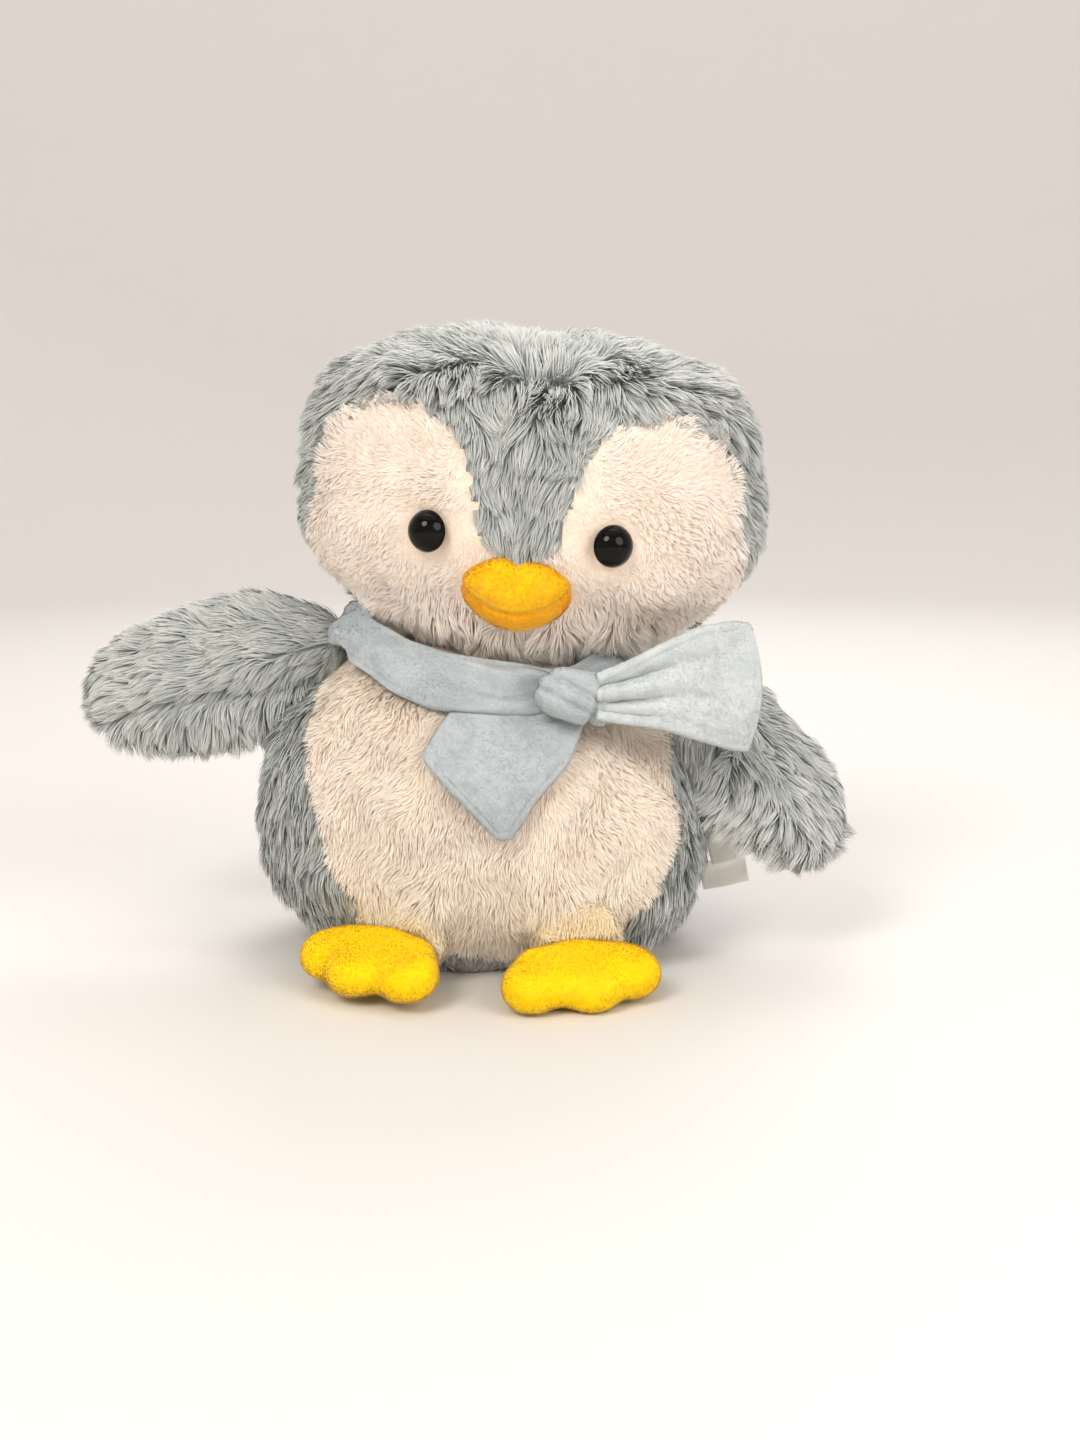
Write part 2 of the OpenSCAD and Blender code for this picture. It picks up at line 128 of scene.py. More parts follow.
def polygon(points):
    """Convex outline through the outermost of the points, counter-clockwise"""
    pts = sorted(set(map(tuple, np.round(points, 4))))

    def half(seq):
        out = []
        for p in seq:
            while len(out) > 1 and ((out[-1][0] - out[-2][0]) * (p[1] - out[-2][1])
                                    - (out[-1][1] - out[-2][1]) * (p[0] - out[-2][0])) <= 0:
                out.pop()
            out.append(p)
        return out[:-1]

    return np.array(half(pts) + half(pts[::-1]))


def disc(x, y, rx, ry=None):
    t = np.linspace(0, math.tau, 48, endpoint=False)
    return np.stack([x + rx * np.cos(t), y + (ry or rx) * np.sin(t)], 1)


def inside_by(outline, x, y):
    """How far each point lies inside a convex outline, negative outside"""
    best = np.full(np.shape(x), 1e9)
    for a, b in zip(outline, np.roll(outline, -1, 0)):
        e = unit(b - a)
        best = np.minimum(best, (y - a[1]) * e[0] - (x - a[0]) * e[1])
    return best


def mesh_object(name, verts_mm, faces, uv=None, normals=None, materials=()):
    """A mesh from arrays: faces is a list of (count, k) integer arrays, uv one (u, v) for each vertex"""
    me = bpy.data.meshes.new(name)
    faces = [np.asarray(f, np.int32) for f in faces if len(f)]
    sizes = np.concatenate([np.full(len(f), f.shape[1], np.int32) for f in faces])
    index = np.concatenate([f.ravel() for f in faces])
    starts = np.concatenate([[0], np.cumsum(sizes)[:-1]]).astype(np.int32)
    me.vertices.add(len(verts_mm))
    me.vertices.foreach_set("co", (np.asarray(verts_mm, np.float64) * 0.001).astype(np.float32).ravel())
    me.loops.add(len(index))
    me.loops.foreach_set("vertex_index", index)
    me.polygons.add(len(sizes))
    me.polygons.foreach_set("loop_start", starts)
    if uv is not None:
        layer = me.uv_layers.new(name="OFBake")
        layer.uv.foreach_set("vector", np.asarray(uv, np.float32)[index].ravel())
    me.update(calc_edges=True)
    me.validate()
    me.polygons.foreach_set("use_smooth", np.full(len(me.polygons), True))
    if normals is not None:
        me.normals_split_custom_set_from_vertices(np.asarray(normals, np.float32))
    for m in materials:
        me.materials.append(m)
    ob = bpy.data.objects.new(name, me)
    scene.collection.objects.link(ob)
    return ob


def grid_faces(rows, cols, wrap=False):
    r, c = np.meshgrid(np.arange(rows - 1), np.arange(cols if wrap else cols - 1), indexing="ij")
    r, c = r.ravel(), c.ravel()
    d = (c + 1) % cols
    return np.stack([r * cols + c, r * cols + d, (r + 1) * cols + d, (r + 1) * cols + c], 1)


# -------- materials


def put(node, **sockets):
    for name, value in sockets.items():
        node.inputs[name.replace("_", " ")].default_value = value


def new_material(name, **sockets):
    m = bpy.data.materials.new(name)
    m.use_nodes = True
    b = m.node_tree.nodes["Principled BSDF"]
    put(b, **sockets)
    return m, m.node_tree.nodes, m.node_tree.links, b


def ramp(nodes, stops):
    r = nodes.new("ShaderNodeValToRGB")
    e = r.color_ramp.elements
    while len(e) < len(stops):
        e.new(0.5)
    for k, (pos, colour) in enumerate(stops):
        e[k].position = pos
        e[k].color = (*colour, 1)
    return r


def srgb(code):
    c = [int(code[k:k + 2], 16) / 255 for k in (1, 3, 5)]
    return tuple(x / 12.92 if x <= 0.04045 else ((x + 0.055) / 1.055) ** 2.4 for x in c)


def root_to_tip(codes, middle):
    """Ramp stops along a strand, for two or three colour codes"""
    places = (0.0, 1.0) if len(codes) == 2 else (0.0, middle, 1.0)
    return [(at, srgb(code)) for at, code in zip(places, codes)]


def fur_material(name, low, high, middle=0.5, sheen=0.25):
    """Colour from the strand map alone: across it the shade of each strand, along it root to tip, between the
    codes of the darkest strands, low, and of the palest, high. Darker roots are partly painted shade deep in
    the pile, partly the pile's own paler tips"""
    m, nodes, links, b = new_material(name, Roughness=0.75, Sheen_Weight=sheen, Sheen_Roughness=0.5,
                                      Specular_IOR_Level=0.25)
    uv = nodes.new("ShaderNodeUVMap")
    uv.uv_map = "OFBake"
    sep = nodes.new("ShaderNodeSeparateXYZ")
    links.new(uv.outputs["UV"], sep.inputs[0])
    mix = nodes.new("ShaderNodeMix")
    mix.data_type = "RGBA"
    links.new(sep.outputs["X"], mix.inputs[0])
    for codes, socket in ((low, 6), (high, 7)):
        shades = ramp(nodes, root_to_tip(codes, middle))
        links.new(sep.outputs["Y"], shades.inputs[0])
        links.new(shades.outputs[0], mix.inputs[socket])
    links.new(mix.outputs[2], b.inputs["Base Color"])
    return m


NAP_STOPS = (0.32, 0.5, 0.68)
PATCH_SHARE, GRAIN_SHARE = 0.56, 0.45


def nap_material(name, codes, patch=0.012, grain=0.0009, roughness=0.85, sheen=0.6, tint=(1, 1, 1),
                 bump=0.25):
    """Short nap from dark to pale: soft patches, painted lighter and darker as painted sheen where the nap
    lies another way, and a fine raised grain
    """
    m, nodes, links, b = new_material(name, Roughness=roughness, Sheen_Weight=sheen, Sheen_Roughness=0.35,
                                      Sheen_Tint=(*tint, 1), Specular_IOR_Level=0.2)
    place = nodes.new("ShaderNodeTexCoord")

    def noise(size, detail, distortion=0.0):
        n = nodes.new("ShaderNodeTexNoise")
        put(n, Scale=1 / size, Detail=detail, Distortion=distortion)
        links.new(place.outputs["Object"], n.inputs["Vector"])
        return n

    def weigh(operation, share, source):
        n = nodes.new("ShaderNodeMath")
        n.operation = operation
        n.inputs[1].default_value = share
        links.new(source.outputs[0], n.inputs[0])
        return n

    # painted sheen: the soft patches lighten and darken the colour where the nap would catch the light
    # another way
    soft, fine = noise(patch, 3, 0.8), noise(grain, 2)
    patches = weigh("MULTIPLY", PATCH_SHARE, soft)
    both = weigh("MULTIPLY_ADD", GRAIN_SHARE, fine)
    links.new(patches.outputs[0], both.inputs[2])
    shades = ramp(nodes, [(at, srgb(code)) for at, code in zip(NAP_STOPS, codes)])
    links.new(both.outputs[0], shades.inputs[0])
    links.new(shades.outputs[0], b.inputs["Base Color"])
    raised = nodes.new("ShaderNodeBump")
    put(raised, Strength=bump, Distance=0.0006)
    links.new(fine.outputs[0], raised.inputs["Height"])
    links.new(raised.outputs[0], b.inputs["Normal"])
    return m


def plain_material(name, colour, roughness, **sockets):
    return new_material(name, Base_Color=(*colour, 1), Roughness=roughness, **sockets)[0]


fur_grey = fur_material(
    "grey_pile", ("#757c7c", "#969e9d", "#b7bcba"), ("#929998", "#b9bfbd", "#e4e5e2"), middle=0.4)
fur_cream = fur_material(
    "cream_pile", ("#d9c3b2", "#ecdccd", "#f3e8dd"), ("#e8d8ca", "#f8eee4", "#fffaf4"), sheen=0.3)
fur_belly = fur_material(
    "belly_pile", ("#e2cab4", "#efdcc9", "#f5e8d9"), ("#eedccb", "#fbf0e2", "#fffaf0"), sheen=0.3)
fur_warm = fur_material(
    "leg_pile", ("#ead2ab", "#f8e6c2", "#fdf1d6"), ("#f4dfba", "#fff1d3", "#fffae8"), sheen=0.3)
# The backings under the pile take the dark colours of the strands' roots: painted shade at the base of the
# pile
skin_grey = nap_material("grey_backing", ("#737b7b", "#858d8c", "#959c9b"), roughness=0.95, sheen=0.1)
skin_cream = nap_material("cream_backing", ("#e4cfbc", "#eddbc9", "#f4e6d7"), roughness=0.95, sheen=0.1)
skin_warm = nap_material("leg_backing", ("#ecd3ab", "#f6e3c0", "#fceed2"), roughness=0.95, sheen=0.1)
foot_nap = nap_material(
    "yellow_nap", ("#ffd000", "#ffd800", "#ffe00c"), patch=0.035, sheen=0.4, tint=(1, 0.9, 0.4))
foot_pile = fur_material("yellow_pile", ("#ffcf00", "#ffd900"), ("#ffd600", "#ffe94d"))
beak_nap = nap_material(
    "amber_nap", ("#ffc400", "#ffce00", "#ffd814"), patch=0.02, sheen=0.4, tint=(1, 0.85, 0.4))
beak_low_nap = nap_material(
    "amber_lip_nap", ("#f09a00", "#f9ac00", "#ffbe10"), patch=0.008, sheen=0.4, tint=(1, 0.85, 0.4))
beak_pile = fur_material("amber_pile", ("#e89400", "#fbb400"), ("#f9ae00", "#ffd95a"))
# The scarf is one cloth in two copies, nap and pile: the paler copy, worn by the side tail, is painted light
scarf_painted_lit = nap_material(
    "scarf_light_nap", ("#b3bcc0", "#c6cdd0", "#d6dbdc"), patch=0.014, grain=0.0007, tint=(0.95, 0.97, 1),
    sheen=0.7)
scarf_nap = nap_material(
    "scarf_nap", ("#9fa9ae", "#afb8bd", "#bfc6ca"), patch=0.014, grain=0.0007, tint=(0.9, 0.95, 1), sheen=0.7)
scarf_pile = fur_material("scarf_pile", ("#a3acb1", "#bcc4c8"), ("#b3bbc0", "#d3d8da"))
scarf_light_pile = fur_material("scarf_light_pile", ("#b6bfc3", "#cfd6d8"), ("#c4cccf", "#e4e8e8"))

# -------- surfaces


class Egg:
    """Egg with relief. size is its half width, half depth, height up and down, and the powers of its outline
    above, below and in plan. place takes points from its own centre to the toy"""

    def __init__(self, size, place, relief):
        self.s, self.place, self.relief = size, place, relief

    def size(self, p):
        """1 on the plain egg, less inside"""
        a, b, up, down, eu, ed, ep = self.s
        low = p[..., 2] < 0
        e = np.where(low, ed, eu)
        plan = ((np.abs(p[..., 0]) / a) ** ep + (np.abs(p[..., 1]) / b) ** ep) ** (1 / ep)
        return (plan ** e + (np.abs(p[..., 2]) / np.where(low, down, up)) ** e) ** (1 / e)

    def front_y(self, x, z):
        """Y of the plain egg's front at a point of its elevation"""
        a, b, up, down, eu, ed, ep = self.s
        low = z < 0
        e = np.where(low, ed, eu)
        k = (1 - (np.abs(z) / np.where(low, down, up)) ** e) ** (1 / e)
        return -b * k * (1 - np.minimum(0.99, np.abs(x) / (a * k)) ** ep) ** (1 / ep)

    def plain(self, d):
        return d / self.size(d)[..., None]

    def grad(self, p, h=0.05):
        return unit(np.stack([self.size(p + h * k) - self.size(p - h * k) for k in np.eye(3)], -1))

    def local(self, d):
        """Point on the surface with its relief, for a direction d"""
        p = self.plain(d)
        return p + self.grad(p) * self.relief(p)[..., None]

    def normal(self, d, h=0.01):
        """Normal that includes the relief, from two close steps"""
        n = self.grad(self.plain(d))
        t1 = unit(np.cross(n, np.where(np.abs(n[..., 2:]) < 0.9, [0, 0, 1.0], [1.0, 0, 0])))
        t2 = np.cross(n, t1)
        q = [self.local(unit(unit(d) + h * t)) - self.local(unit(unit(d) - h * t)) for t in (t1, t2)]
        m = unit(np.cross(q[0], q[1]))
        return m * np.sign((m * n).sum(-1, keepdims=True))

    def scatter(self, per_cm2, seed):
        """Points spread evenly over the surface, and their normals"""
        r = np.random.default_rng(seed)
        count = int(self.area() / 100 * per_cm2 * thin)
        out = np.zeros((0, 3))
        while len(out) < count:
            d = unit(r.normal(size=(count * 3, 3)))
            p = self.plain(d)
            w = self.weight(d, p, 0.15)
            out = np.concatenate([out, d[r.uniform(size=len(d)) < w / w.max()]])
        return self.local(out[:count]), self.normal(out[:count])

    def weight(self, d, p, least):
        """Surface at each direction, for a unit of solid angle"""
        return (p ** 2).sum(-1) / np.maximum((self.grad(p) * d).sum(-1), least)

    def area(self):
        d = unit(np.random.default_rng(1).normal(size=(20000, 3)))
        return 4 * math.pi * np.mean(self.weight(d, self.plain(d), 0.1))

    def skin(self, name, rows, cols, *materials, flat_at=None):
        """The surface as a mesh; flat_at is a height that nothing of it goes below"""
        t = np.linspace(0.004, math.pi - 0.004, rows)
        f = np.linspace(0, math.tau, cols, endpoint=False)
        T, F = np.meshgrid(t, f, indexing="ij")
        d = np.stack([np.sin(T) * np.cos(F), np.sin(T) * np.sin(F), np.cos(T)], -1).reshape(-1, 3)
        v = self.place(self.local(d))
        if flat_at is not None:
            v[:, 2] = np.maximum(v[:, 2], flat_at)
        uv = np.stack([F.ravel() / (math.tau) * 0.98 + 0.01, 0.99 - T.ravel() / math.pi * 0.98], -1)
        faces = grid_faces(rows, cols, wrap=True)[:, ::-1]
        caps = [np.arange(cols)[None, :], (np.arange(cols)[::-1] + (rows - 1) * cols)[None, :]]
        return mesh_object(name, v, [faces] + caps, uv, materials=materials)


def lean(v):
    return turn_y(v, LEAN)


def unlean(v):
    return turn_y(v, -LEAN)


def body_place(p):
    return lean(p + BODY_AT)


def body_unplace(p):
    return unlean(p) - BODY_AT


def head_place(p):
    return lean(p) + HEAD_AT


def head_unplace(p):
    return unlean(p - HEAD_AT)


def dome(*pairs):
    """1 at a place, fading round it: each pair is a distance from it and how far the dome reaches that way"""
    return np.exp(-sum((d / reach) ** 2 for d, reach in pairs))


lumps, small_lumps = Waves(46, 3), Waves(17, 4)


def head_relief(p):
    x, y, z = p[..., 0], p[..., 1], p[..., 2]
    r = 1.0 * lumps(p) + 0.35 * small_lumps(p)
    front = smooth(10, -20, y)
    for s in (-1, 1):
        # corners of the crown, where the seams of the forehead meet those of the back
        r += 4.5 * dome((x - s * 66, 17), (z - 44, 15)) * smooth(40, 0, np.abs(y - 4))
        # an eye pulls the face in
        r -= 2.4 * front * dome((x - s * EYE_X, 8.5), (z - EYE_Z, 8.5))
        # cheeks
        r += 2.0 * front * dome((x - s * 52, 20), (z + 18, 15))
    # muzzle under the beak
    r += 2.5 * front * dome((x, 20), (z + 26, 12))
    r += 3.0 * smooth(10, -10, y) * np.exp(-((x + 2) / 34) ** 4 - ((z + 38) / 9) ** 2)
    # seam over the crown, and the notch where its pleat ends
    r -= 0.7 * dome((y - 6, 3.0)) * smooth(-30, 10, z)
    r -= 2.2 * dome((x - 2, 5), (y + 24, 9)) * smooth(30, 50, z)
    return r


def body_relief(p):
    x, y, z = p[..., 0], p[..., 1], p[..., 2]
    r = 1.3 * lumps(p + 31) + 0.5 * small_lumps(p + 9)
    # the legs' seam pulls the lower belly in between them
    r -= 2.0 * dome((x - 8, 9), (z + 38, 10)) * smooth(0, -30, y)
    # seam down the back
    r -= 1.2 * dome((x, 2.5)) * smooth(20, 45, y)
    return r


head = Egg((83.5, 63, 68, 44, 3.0, 1.9, 2.2), head_place, head_relief)
body = Egg((84, 66, 76, 60, 2.2, 2.0, 2.2), body_place, body_relief)

# outlines of the cream in elevation: one half of the face, as two convex shapes, and the belly
by_the_beak = disc(14.5, -8, 3)
face_outlines = [
    polygon(np.concatenate([disc(46, 15.5, 28), by_the_beak])),
    polygon(np.concatenate([disc(56, -5, 22), by_the_beak, [[0, -60], [40, -60], [40, -8], [0, -8]]])),
]
belly_outline = polygon(np.concatenate([disc(0, 88, 65, 40), disc(8, 60, 64, 51)]))


def on_front(inside, y):
    """Depth inside an outline on the front half, always outside it behind"""
    return np.where(y < 0, inside, -20.0 - y)


def face_depth(p):
    """How far a point of the head lies inside the cream of the face, negative in the grey"""
    x, z = np.abs(p[..., 0]), p[..., 2]
    return on_front(np.maximum(*[inside_by(o, x, z) for o in face_outlines]), p[..., 1])


def belly_depth(p):
    """The same for a point of the body"""
    return on_front(inside_by(belly_outline, p[..., 0], p[..., 2] + BODY_AT[2]), p[..., 1])


# -------- pile

sway_a, sway_b, sway_c = Waves(19, 21), Waves(15, 22), Waves(38, 23)
tone_a, tone_b = Waves(9, 24), Waves(30, 25)
FLOOR_GAP = 0.15


def into_locks(pts, roots, length, every, clump, r):
    """Leans each strand's outer part to the tip of its lock, and returns its lock's tone"""
    m, steps = len(pts), pts.shape[1] - 1
    heads = np.arange(0, m, every)
    tree = KDTree(len(heads))
    for k, h in enumerate(heads):
        tree.insert(Vector(roots[h]), k)
    tree.balance()
    own = np.array([tree.find(Vector(q))[1] for q in roots])
    pull = pts[heads[own], -1] - pts[:, -1]
    far = np.linalg.norm(pull, axis=1, keepdims=True)
    pull = pull * np.minimum(1, length[:, None] * 0.6 / np.maximum(far, 1e-6))
    amount = clump * r.uniform(0.6, 1.1, m)[:, None]
    for k in range(1, steps + 1):
        pts[:, k] += pull * amount * (k / steps) ** 1.6
    return r.uniform(-1, 1, len(heads))[own]


def strand_mesh(name, material, pts, across, width, shade, facing, soften):
    """Flat blades that end in points, with shading normals softened from their own to facing"""
    m, steps = len(pts), pts.shape[1] - 1
    taper = np.interp(np.linspace(0, 1, steps + 1), [0, 0.5, 1], [1.0, 0.85, 0.0])
    verts, uvs, norms = [], [], []
    for k in range(steps + 1):
        way = unit(pts[:, min(k + 1, steps)] - pts[:, max(k - 1, 0)])
        normal = unit(np.cross(across, way) * (1 - soften) + facing * soften)
        half = across * (width * taper[k] / 2)[:, None]
        places = [pts[:, k] - half, pts[:, k] + half] if k < steps else [pts[:, k]]
        verts += places
        uvs += [np.stack([0.02 + 0.96 * shade, np.full(m, 0.02 + 0.96 * k / steps)], -1)] * len(places)
        norms += [normal] * len(places)
    per = 2 * steps + 1
    v = np.stack(verts, 1).reshape(-1, 3)
    v[:, 2] = np.maximum(v[:, 2], FLOOR_GAP)
    base = (np.arange(m) * per)[:, None]
    quads = [base + [[2 * k, 2 * k + 1, 2 * k + 3, 2 * k + 2]] for k in range(steps - 1)]
    tips = base + [[per - 3, per - 2, per - 1]]
    return mesh_object(name, v, [np.concatenate(quads), tips], np.stack(uvs, 1).reshape(-1, 2),
                       np.stack(norms, 1).reshape(-1, 3), [material])


def pile(name, material, p, n, flow, length, width, lift, droop, wander, steps, seed, lock=0, clump=0.0,
         tone=0.5, spread=0.5, soften=0.65, sink=0.8, facing=None, bend_more=0.0):
    """Strands as one mesh, rooted at p with normals n. They leave the skin at lift degrees, lie down along
    flow, wander, sag by droop and gather into pointed locks"""
    r = np.random.default_rng(seed)
    m = len(p)
    length = np.broadcast_to(length, m) * r.uniform(0.75, 1.15, m)
    width = np.broadcast_to(width, m) * r.uniform(0.8, 1.2, m)
    droop = np.broadcast_to(droop, m)[:, None]
    lift = np.radians(np.broadcast_to(lift, m) + r.normal(0, 7, m) + 12 * sway_c(p))
    side = np.cross(n, flow)
    f = tangent(flow + side * (wander * (0.75 * sway_a(p) + r.normal(0, 0.25, m)))[:, None], n)
    side = np.cross(n, f)
    down = np.array([0, 0, -1.0])
    curl = ((0.5 + bend_more) * sway_b(p) + r.normal(0, 0.15, m))[:, None] * side
    pts = [p - n * sink]
    for k in range(steps):
        s = (k + 0.5) / steps
        a = lift * (1.25 - 0.85 * s)
        d = n * np.sin(a)[:, None] + f * np.cos(a)[:, None] + down * (droop * s) + curl * s
        pts.append(pts[-1] + unit(d) * (length / steps)[:, None])
    pts = np.stack(pts, 1)
    lock_tone = into_locks(pts, p, length, lock, clump, r) if lock else np.zeros(m)
    roll = r.normal(0, 0.5, m)[:, None]
    across = unit(side * np.cos(roll) + n * np.sin(roll))
    across *= np.where((np.cross(across, unit(pts[:, -1] - pts[:, 0])) * n).sum(-1) < 0, -1, 1)[:, None]
    patches = 0.35 * tone_a(p) + 0.3 * tone_b(p) + 0.3 * lock_tone
    shade = np.clip(tone + spread * (patches + r.normal(0, 0.22, m)), 0, 1)
    return strand_mesh(name, material, pts, across, width, shade, n if facing is None else facing, soften)


def thinned(where, share, seed):
    """Keeps a random share of the roots"""
    return where & (np.random.default_rng(seed).uniform(size=len(where)) < share)


def like(x, *parts):
    """A direction at each root, from a number or an array for each axis"""
    return np.stack([part + 0 * x for part in parts], -1)


# ---- head coat

EDGE_WAVER = 1.2
NECK_HOLE, NECK_HOLE_RADIUS = np.array([-7, 0, -49]), 30
EYE_CLEAR = 7.9


def bare_head(p):
    """Where no pile grows: under the beak, round the eyes and inside the neck"""
    x, y, z = p.T
    bare = (x / 17.5) ** 2 + ((z - BEAK_Z) / 11.5) ** 2 < 1
    bare |= (np.abs(x) - EYE_X) ** 2 + (z - EYE_Z) ** 2 < EYE_CLEAR ** 2
    return (bare & (y < 0)) | (np.linalg.norm(p - NECK_HOLE, axis=1) < NECK_HOLE_RADIUS)


def grey_head_pile(p, n, depth, grey):
    """Down the forehead to the beak, out over the crown's corners and down the sides and back"""
    x, y, z = p.T
    P, N = head_place(p), lean(n)
    front = smooth(8, -12, y)
    ahead = like(x, np.where(np.abs(x) < 45, -0.012, 0.012) * x, -0.3, -1.0)
    ahead[:, 0] += np.sign(x) * 0.9 * smooth(28, 60, z) * smooth(12, 50, np.abs(x))
    # over the crown it turns up and back, and stands where the two ways part
    turned = smooth(48, 64, z + 4 * lumps(p) + 3 * sway_a(p))
    parting = turned * (1 - turned) * front
    ahead = ahead * (1 - turned)[:, None] + like(x, 0.028 * x, 0.5, 0.5) * turned[:, None]
    behind = like(x, 0.012 * x, 0.5 * smooth(10, 40, z), -1.0 + 0.5 * smooth(30, 66, z))
    beside = like(x, np.sign(x) * 0.7, 0.45, -0.55)
    at_side = smooth(58, 78, np.abs(x))[:, None]
    flow = ahead * front[:, None] + behind * (1 - front)[:, None]
    F = tangent(lean(flow * (1 - at_side) + beside * at_side), N)
    length = 11.5 * (0.55 + 0.45 * smooth(0, 8, -depth))
    lift = 27 + 6 * turned + 90 * parting
    # Painted light: paler towards the top of the crown, where the light from above falls, and much paler at
    # the parting, against the shade where the strands stand up; also a little paler towards the toy's left
    tone = 0.5 + 0.2 * smooth(34, 60, z) + 0.06 * smooth(-20, 40, x) + 1.2 * parting
    coats = []
    for k, (name, where, share) in enumerate((("forehead_coat", y < 6, 0.8),
                                              ("head_back_left_coat", (y >= 6) & (x >= 0), 0.6),
                                              ("head_back_right_coat", (y >= 6) & (x < 0), 0.6))):
        s = thinned(grey & where, share, 40 + k)
        coats.append(pile(name, fur_grey, P[s], N[s], F[s], length[s], 0.62, lift[s], droop=0.2, wander=0.42,
                          steps=3, seed=50 + k, lock=55, clump=0.62, tone=tone[s]))
    return coats


def face_pile(p, n, depth, cream):
    """Out from the eyes, up at the brow, out at the cheeks and down at the chin"""
    x, y, z = p.T
    ax, sx = np.abs(x), np.sign(x)
    P, N = head_place(p), lean(n)
    inner = smooth(34, 16, ax) * smooth(-14, 0, z)
    chin = smooth(-19, -33, z) * smooth(40, 10, y)
    outer = smooth(6, 0, depth) * smooth(34, 50, np.where(z > -4, ax, 60))
    eye_near = np.hypot(ax - EYE_X, z - EYE_Z)
    f = like(x, sx * (0.35 + 0.9 * smooth(20, 70, ax)), 0.0, -0.9 + 1.7 * smooth(0, 32, z))
    f[:, 0] = f[:, 0] * (1 - inner) + sx * 0.25 * inner
    f[:, 2] = f[:, 2] * (1 - inner) - 0.9 * inner
    f[:, 0] *= 1 - 0.7 * chin
    F = tangent(lean(f), N)
    length = 3.6 + 2.6 * outer + 6.4 * chin * smooth(66, 46, ax) - 0.9 * inner
    # shorter round the eyes and the beak
    length *= 0.5 + 0.5 * smooth(7, 14, eye_near)
    length *= 0.6 + 0.4 * smooth(1.0, 1.3, np.hypot(x / 18, (z - BEAK_Z) / 12))
    lift = 44 - 16 * inner + 14 * chin
    facing = unit(N + np.array([0, -0.5, 0.55]) * chin[:, None])
    # Paler along the inner edges and darker in a ring round each eye; the chin is painted paler, as painted
    # light standing in for light thrown up from the scarf and belly
    tone = 0.66 + 0.25 * inner - 0.5 * np.exp(-((eye_near - 7.5) / 3.2) ** 2) + 0.15 * chin
    coats = []
    for k, (name, side) in enumerate((("face_left_coat", 1), ("face_right_coat", -1))):
        s = cream & (sx == side)
        coats.append(pile(name, fur_cream, P[s], N[s], F[s], length[s], 0.5, lift[s],
                          droop=(0.15 + 0.4 * chin)[s], wander=(0.5 + 1.0 * chin)[s], steps=2, seed=60 + k,
                          lock=22, clump=0.5, tone=tone[s], spread=0.4, facing=facing[s],
                          bend_more=0.7 * chin[s]))
    return coats


def head_pile():
    p, n = head.scatter(250, 5)
    depth = face_depth(p)
    cream = depth + EDGE_WAVER * Waves(6, 31)(p) > 0
    grows = ~bare_head(p)
    return grey_head_pile(p, n, depth, ~cream & grows) + face_pile(p, n, depth, cream & grows)


# ---- body coat


def body_pile():
    p, n = body.scatter(330, 6)
    depth = belly_depth(p)
    x, y, z = p.T
    P, N = body_place(p), lean(n)
    cream = depth + EDGE_WAVER * Waves(6, 32)(p) > 0
    # none on the base, inside the neck or under the legs, and longer in a fringe above each leg
    bare = (P[:, 2] < 2.0) | (z > 66)
    fringe = np.zeros(len(x))
    for leg_x in LEG_X.values():
        aside = np.abs(P[:, 0] - leg_x)
        bare |= (aside < 12) & (np.abs(P[:, 2] - 16) < 10) & (P[:, 1] < 0)
        fringe = np.maximum(fringe, smooth(20, 12, aside) * smooth(24, 28, P[:, 2]) * smooth(40, 33, P[:, 2]))
    front = smooth(0, -20, y)
    F = tangent(lean(like(x, 0.006 * x - 0.5 * np.sign(x) * front, 0.35 - 0.6 * front, -1.0)), N)
    length = 11.0 * (0.72 + 0.28 * smooth(0, 6, -depth)) * (1 - 0.35 * smooth(16, 4, P[:, 2]))
    coats = []
    for k, (name, where) in enumerate((("back_left_coat", x >= 0), ("back_right_coat", x < 0))):
        s = thinned(~cream & ~bare & where, 0.5, 45 + k)
        coats.append(pile(name, fur_grey, P[s], N[s], F[s], length[s], 0.65, 28, droop=0.25, wander=0.42,
                          steps=3, seed=70 + k, lock=50, clump=0.58))
    s = cream & ~bare
    F = tangent(lean(like(x, 0.010 * x, 0.0, -1.0)), N)
    length = 5.4 - 0.8 * smooth(6, 0, depth) + 3.5 * fringe
    coats.append(pile("belly_coat", fur_belly, P[s], N[s], F[s], length[s], 0.42, (36 + 22 * fringe)[s],
                      droop=0.2, wander=0.9, steps=2, seed=75, lock=26, clump=0.34, tone=0.68, spread=0.26))
    return coats


head_coats = head_pile()
body_coats = body_pile()

# ---- skins under the coats


def read(items, name, dtype=float):
    """Three numbers for each item of a mesh"""
    out = np.zeros(len(items) * 3, dtype)
    items.foreach_get(name, out)
    return out.reshape(-1, 3)


def two_tone(ob, depth_of, unplace):
    """Gives each face of a skin its second material where depth_of is positive"""
    inside = depth_of(unplace(read(ob.data.polygons, "center") * 1000)) > 0
    ob.data.polygons.foreach_set("material_index", inside.astype(np.int32))


head_skin = head.skin("head_skin", 90, 140, skin_grey, skin_cream)
body_skin = body.skin("body_skin", 90, 140, skin_grey, skin_cream, flat_at=0.0)
two_tone(head_skin, face_depth, head_unplace)
two_tone(body_skin, belly_depth, body_unplace)

# ---- wings

# side, shoulder's x, drop, twist, half width and outer length of each wing
WINGS = {"left": (1, 68.0, 47, 30, 28.5, 55), "right": (-1, -71.5, 19.5, 0, 25, 57)}
FOLD = (0.42, -0.907, 0)
# height of the shoulders, how far in from the wing's centre they lie, and how far out from them the second
# shoulder point lies
SHOULDER_Z, SHOULDER_IN, BENDS = 108, 30, 22


def wing_relief(p):
    r = 0.9 * lumps(p + 77) + 0.4 * small_lumps(p + 50)
    # seam low on the front, where the two halves meet
    r -= 1.6 * dome((p[..., 0] + 10 - 0.05 * p[..., 2], 2.2)) * smooth(0, 3, p[..., 1])
    return r


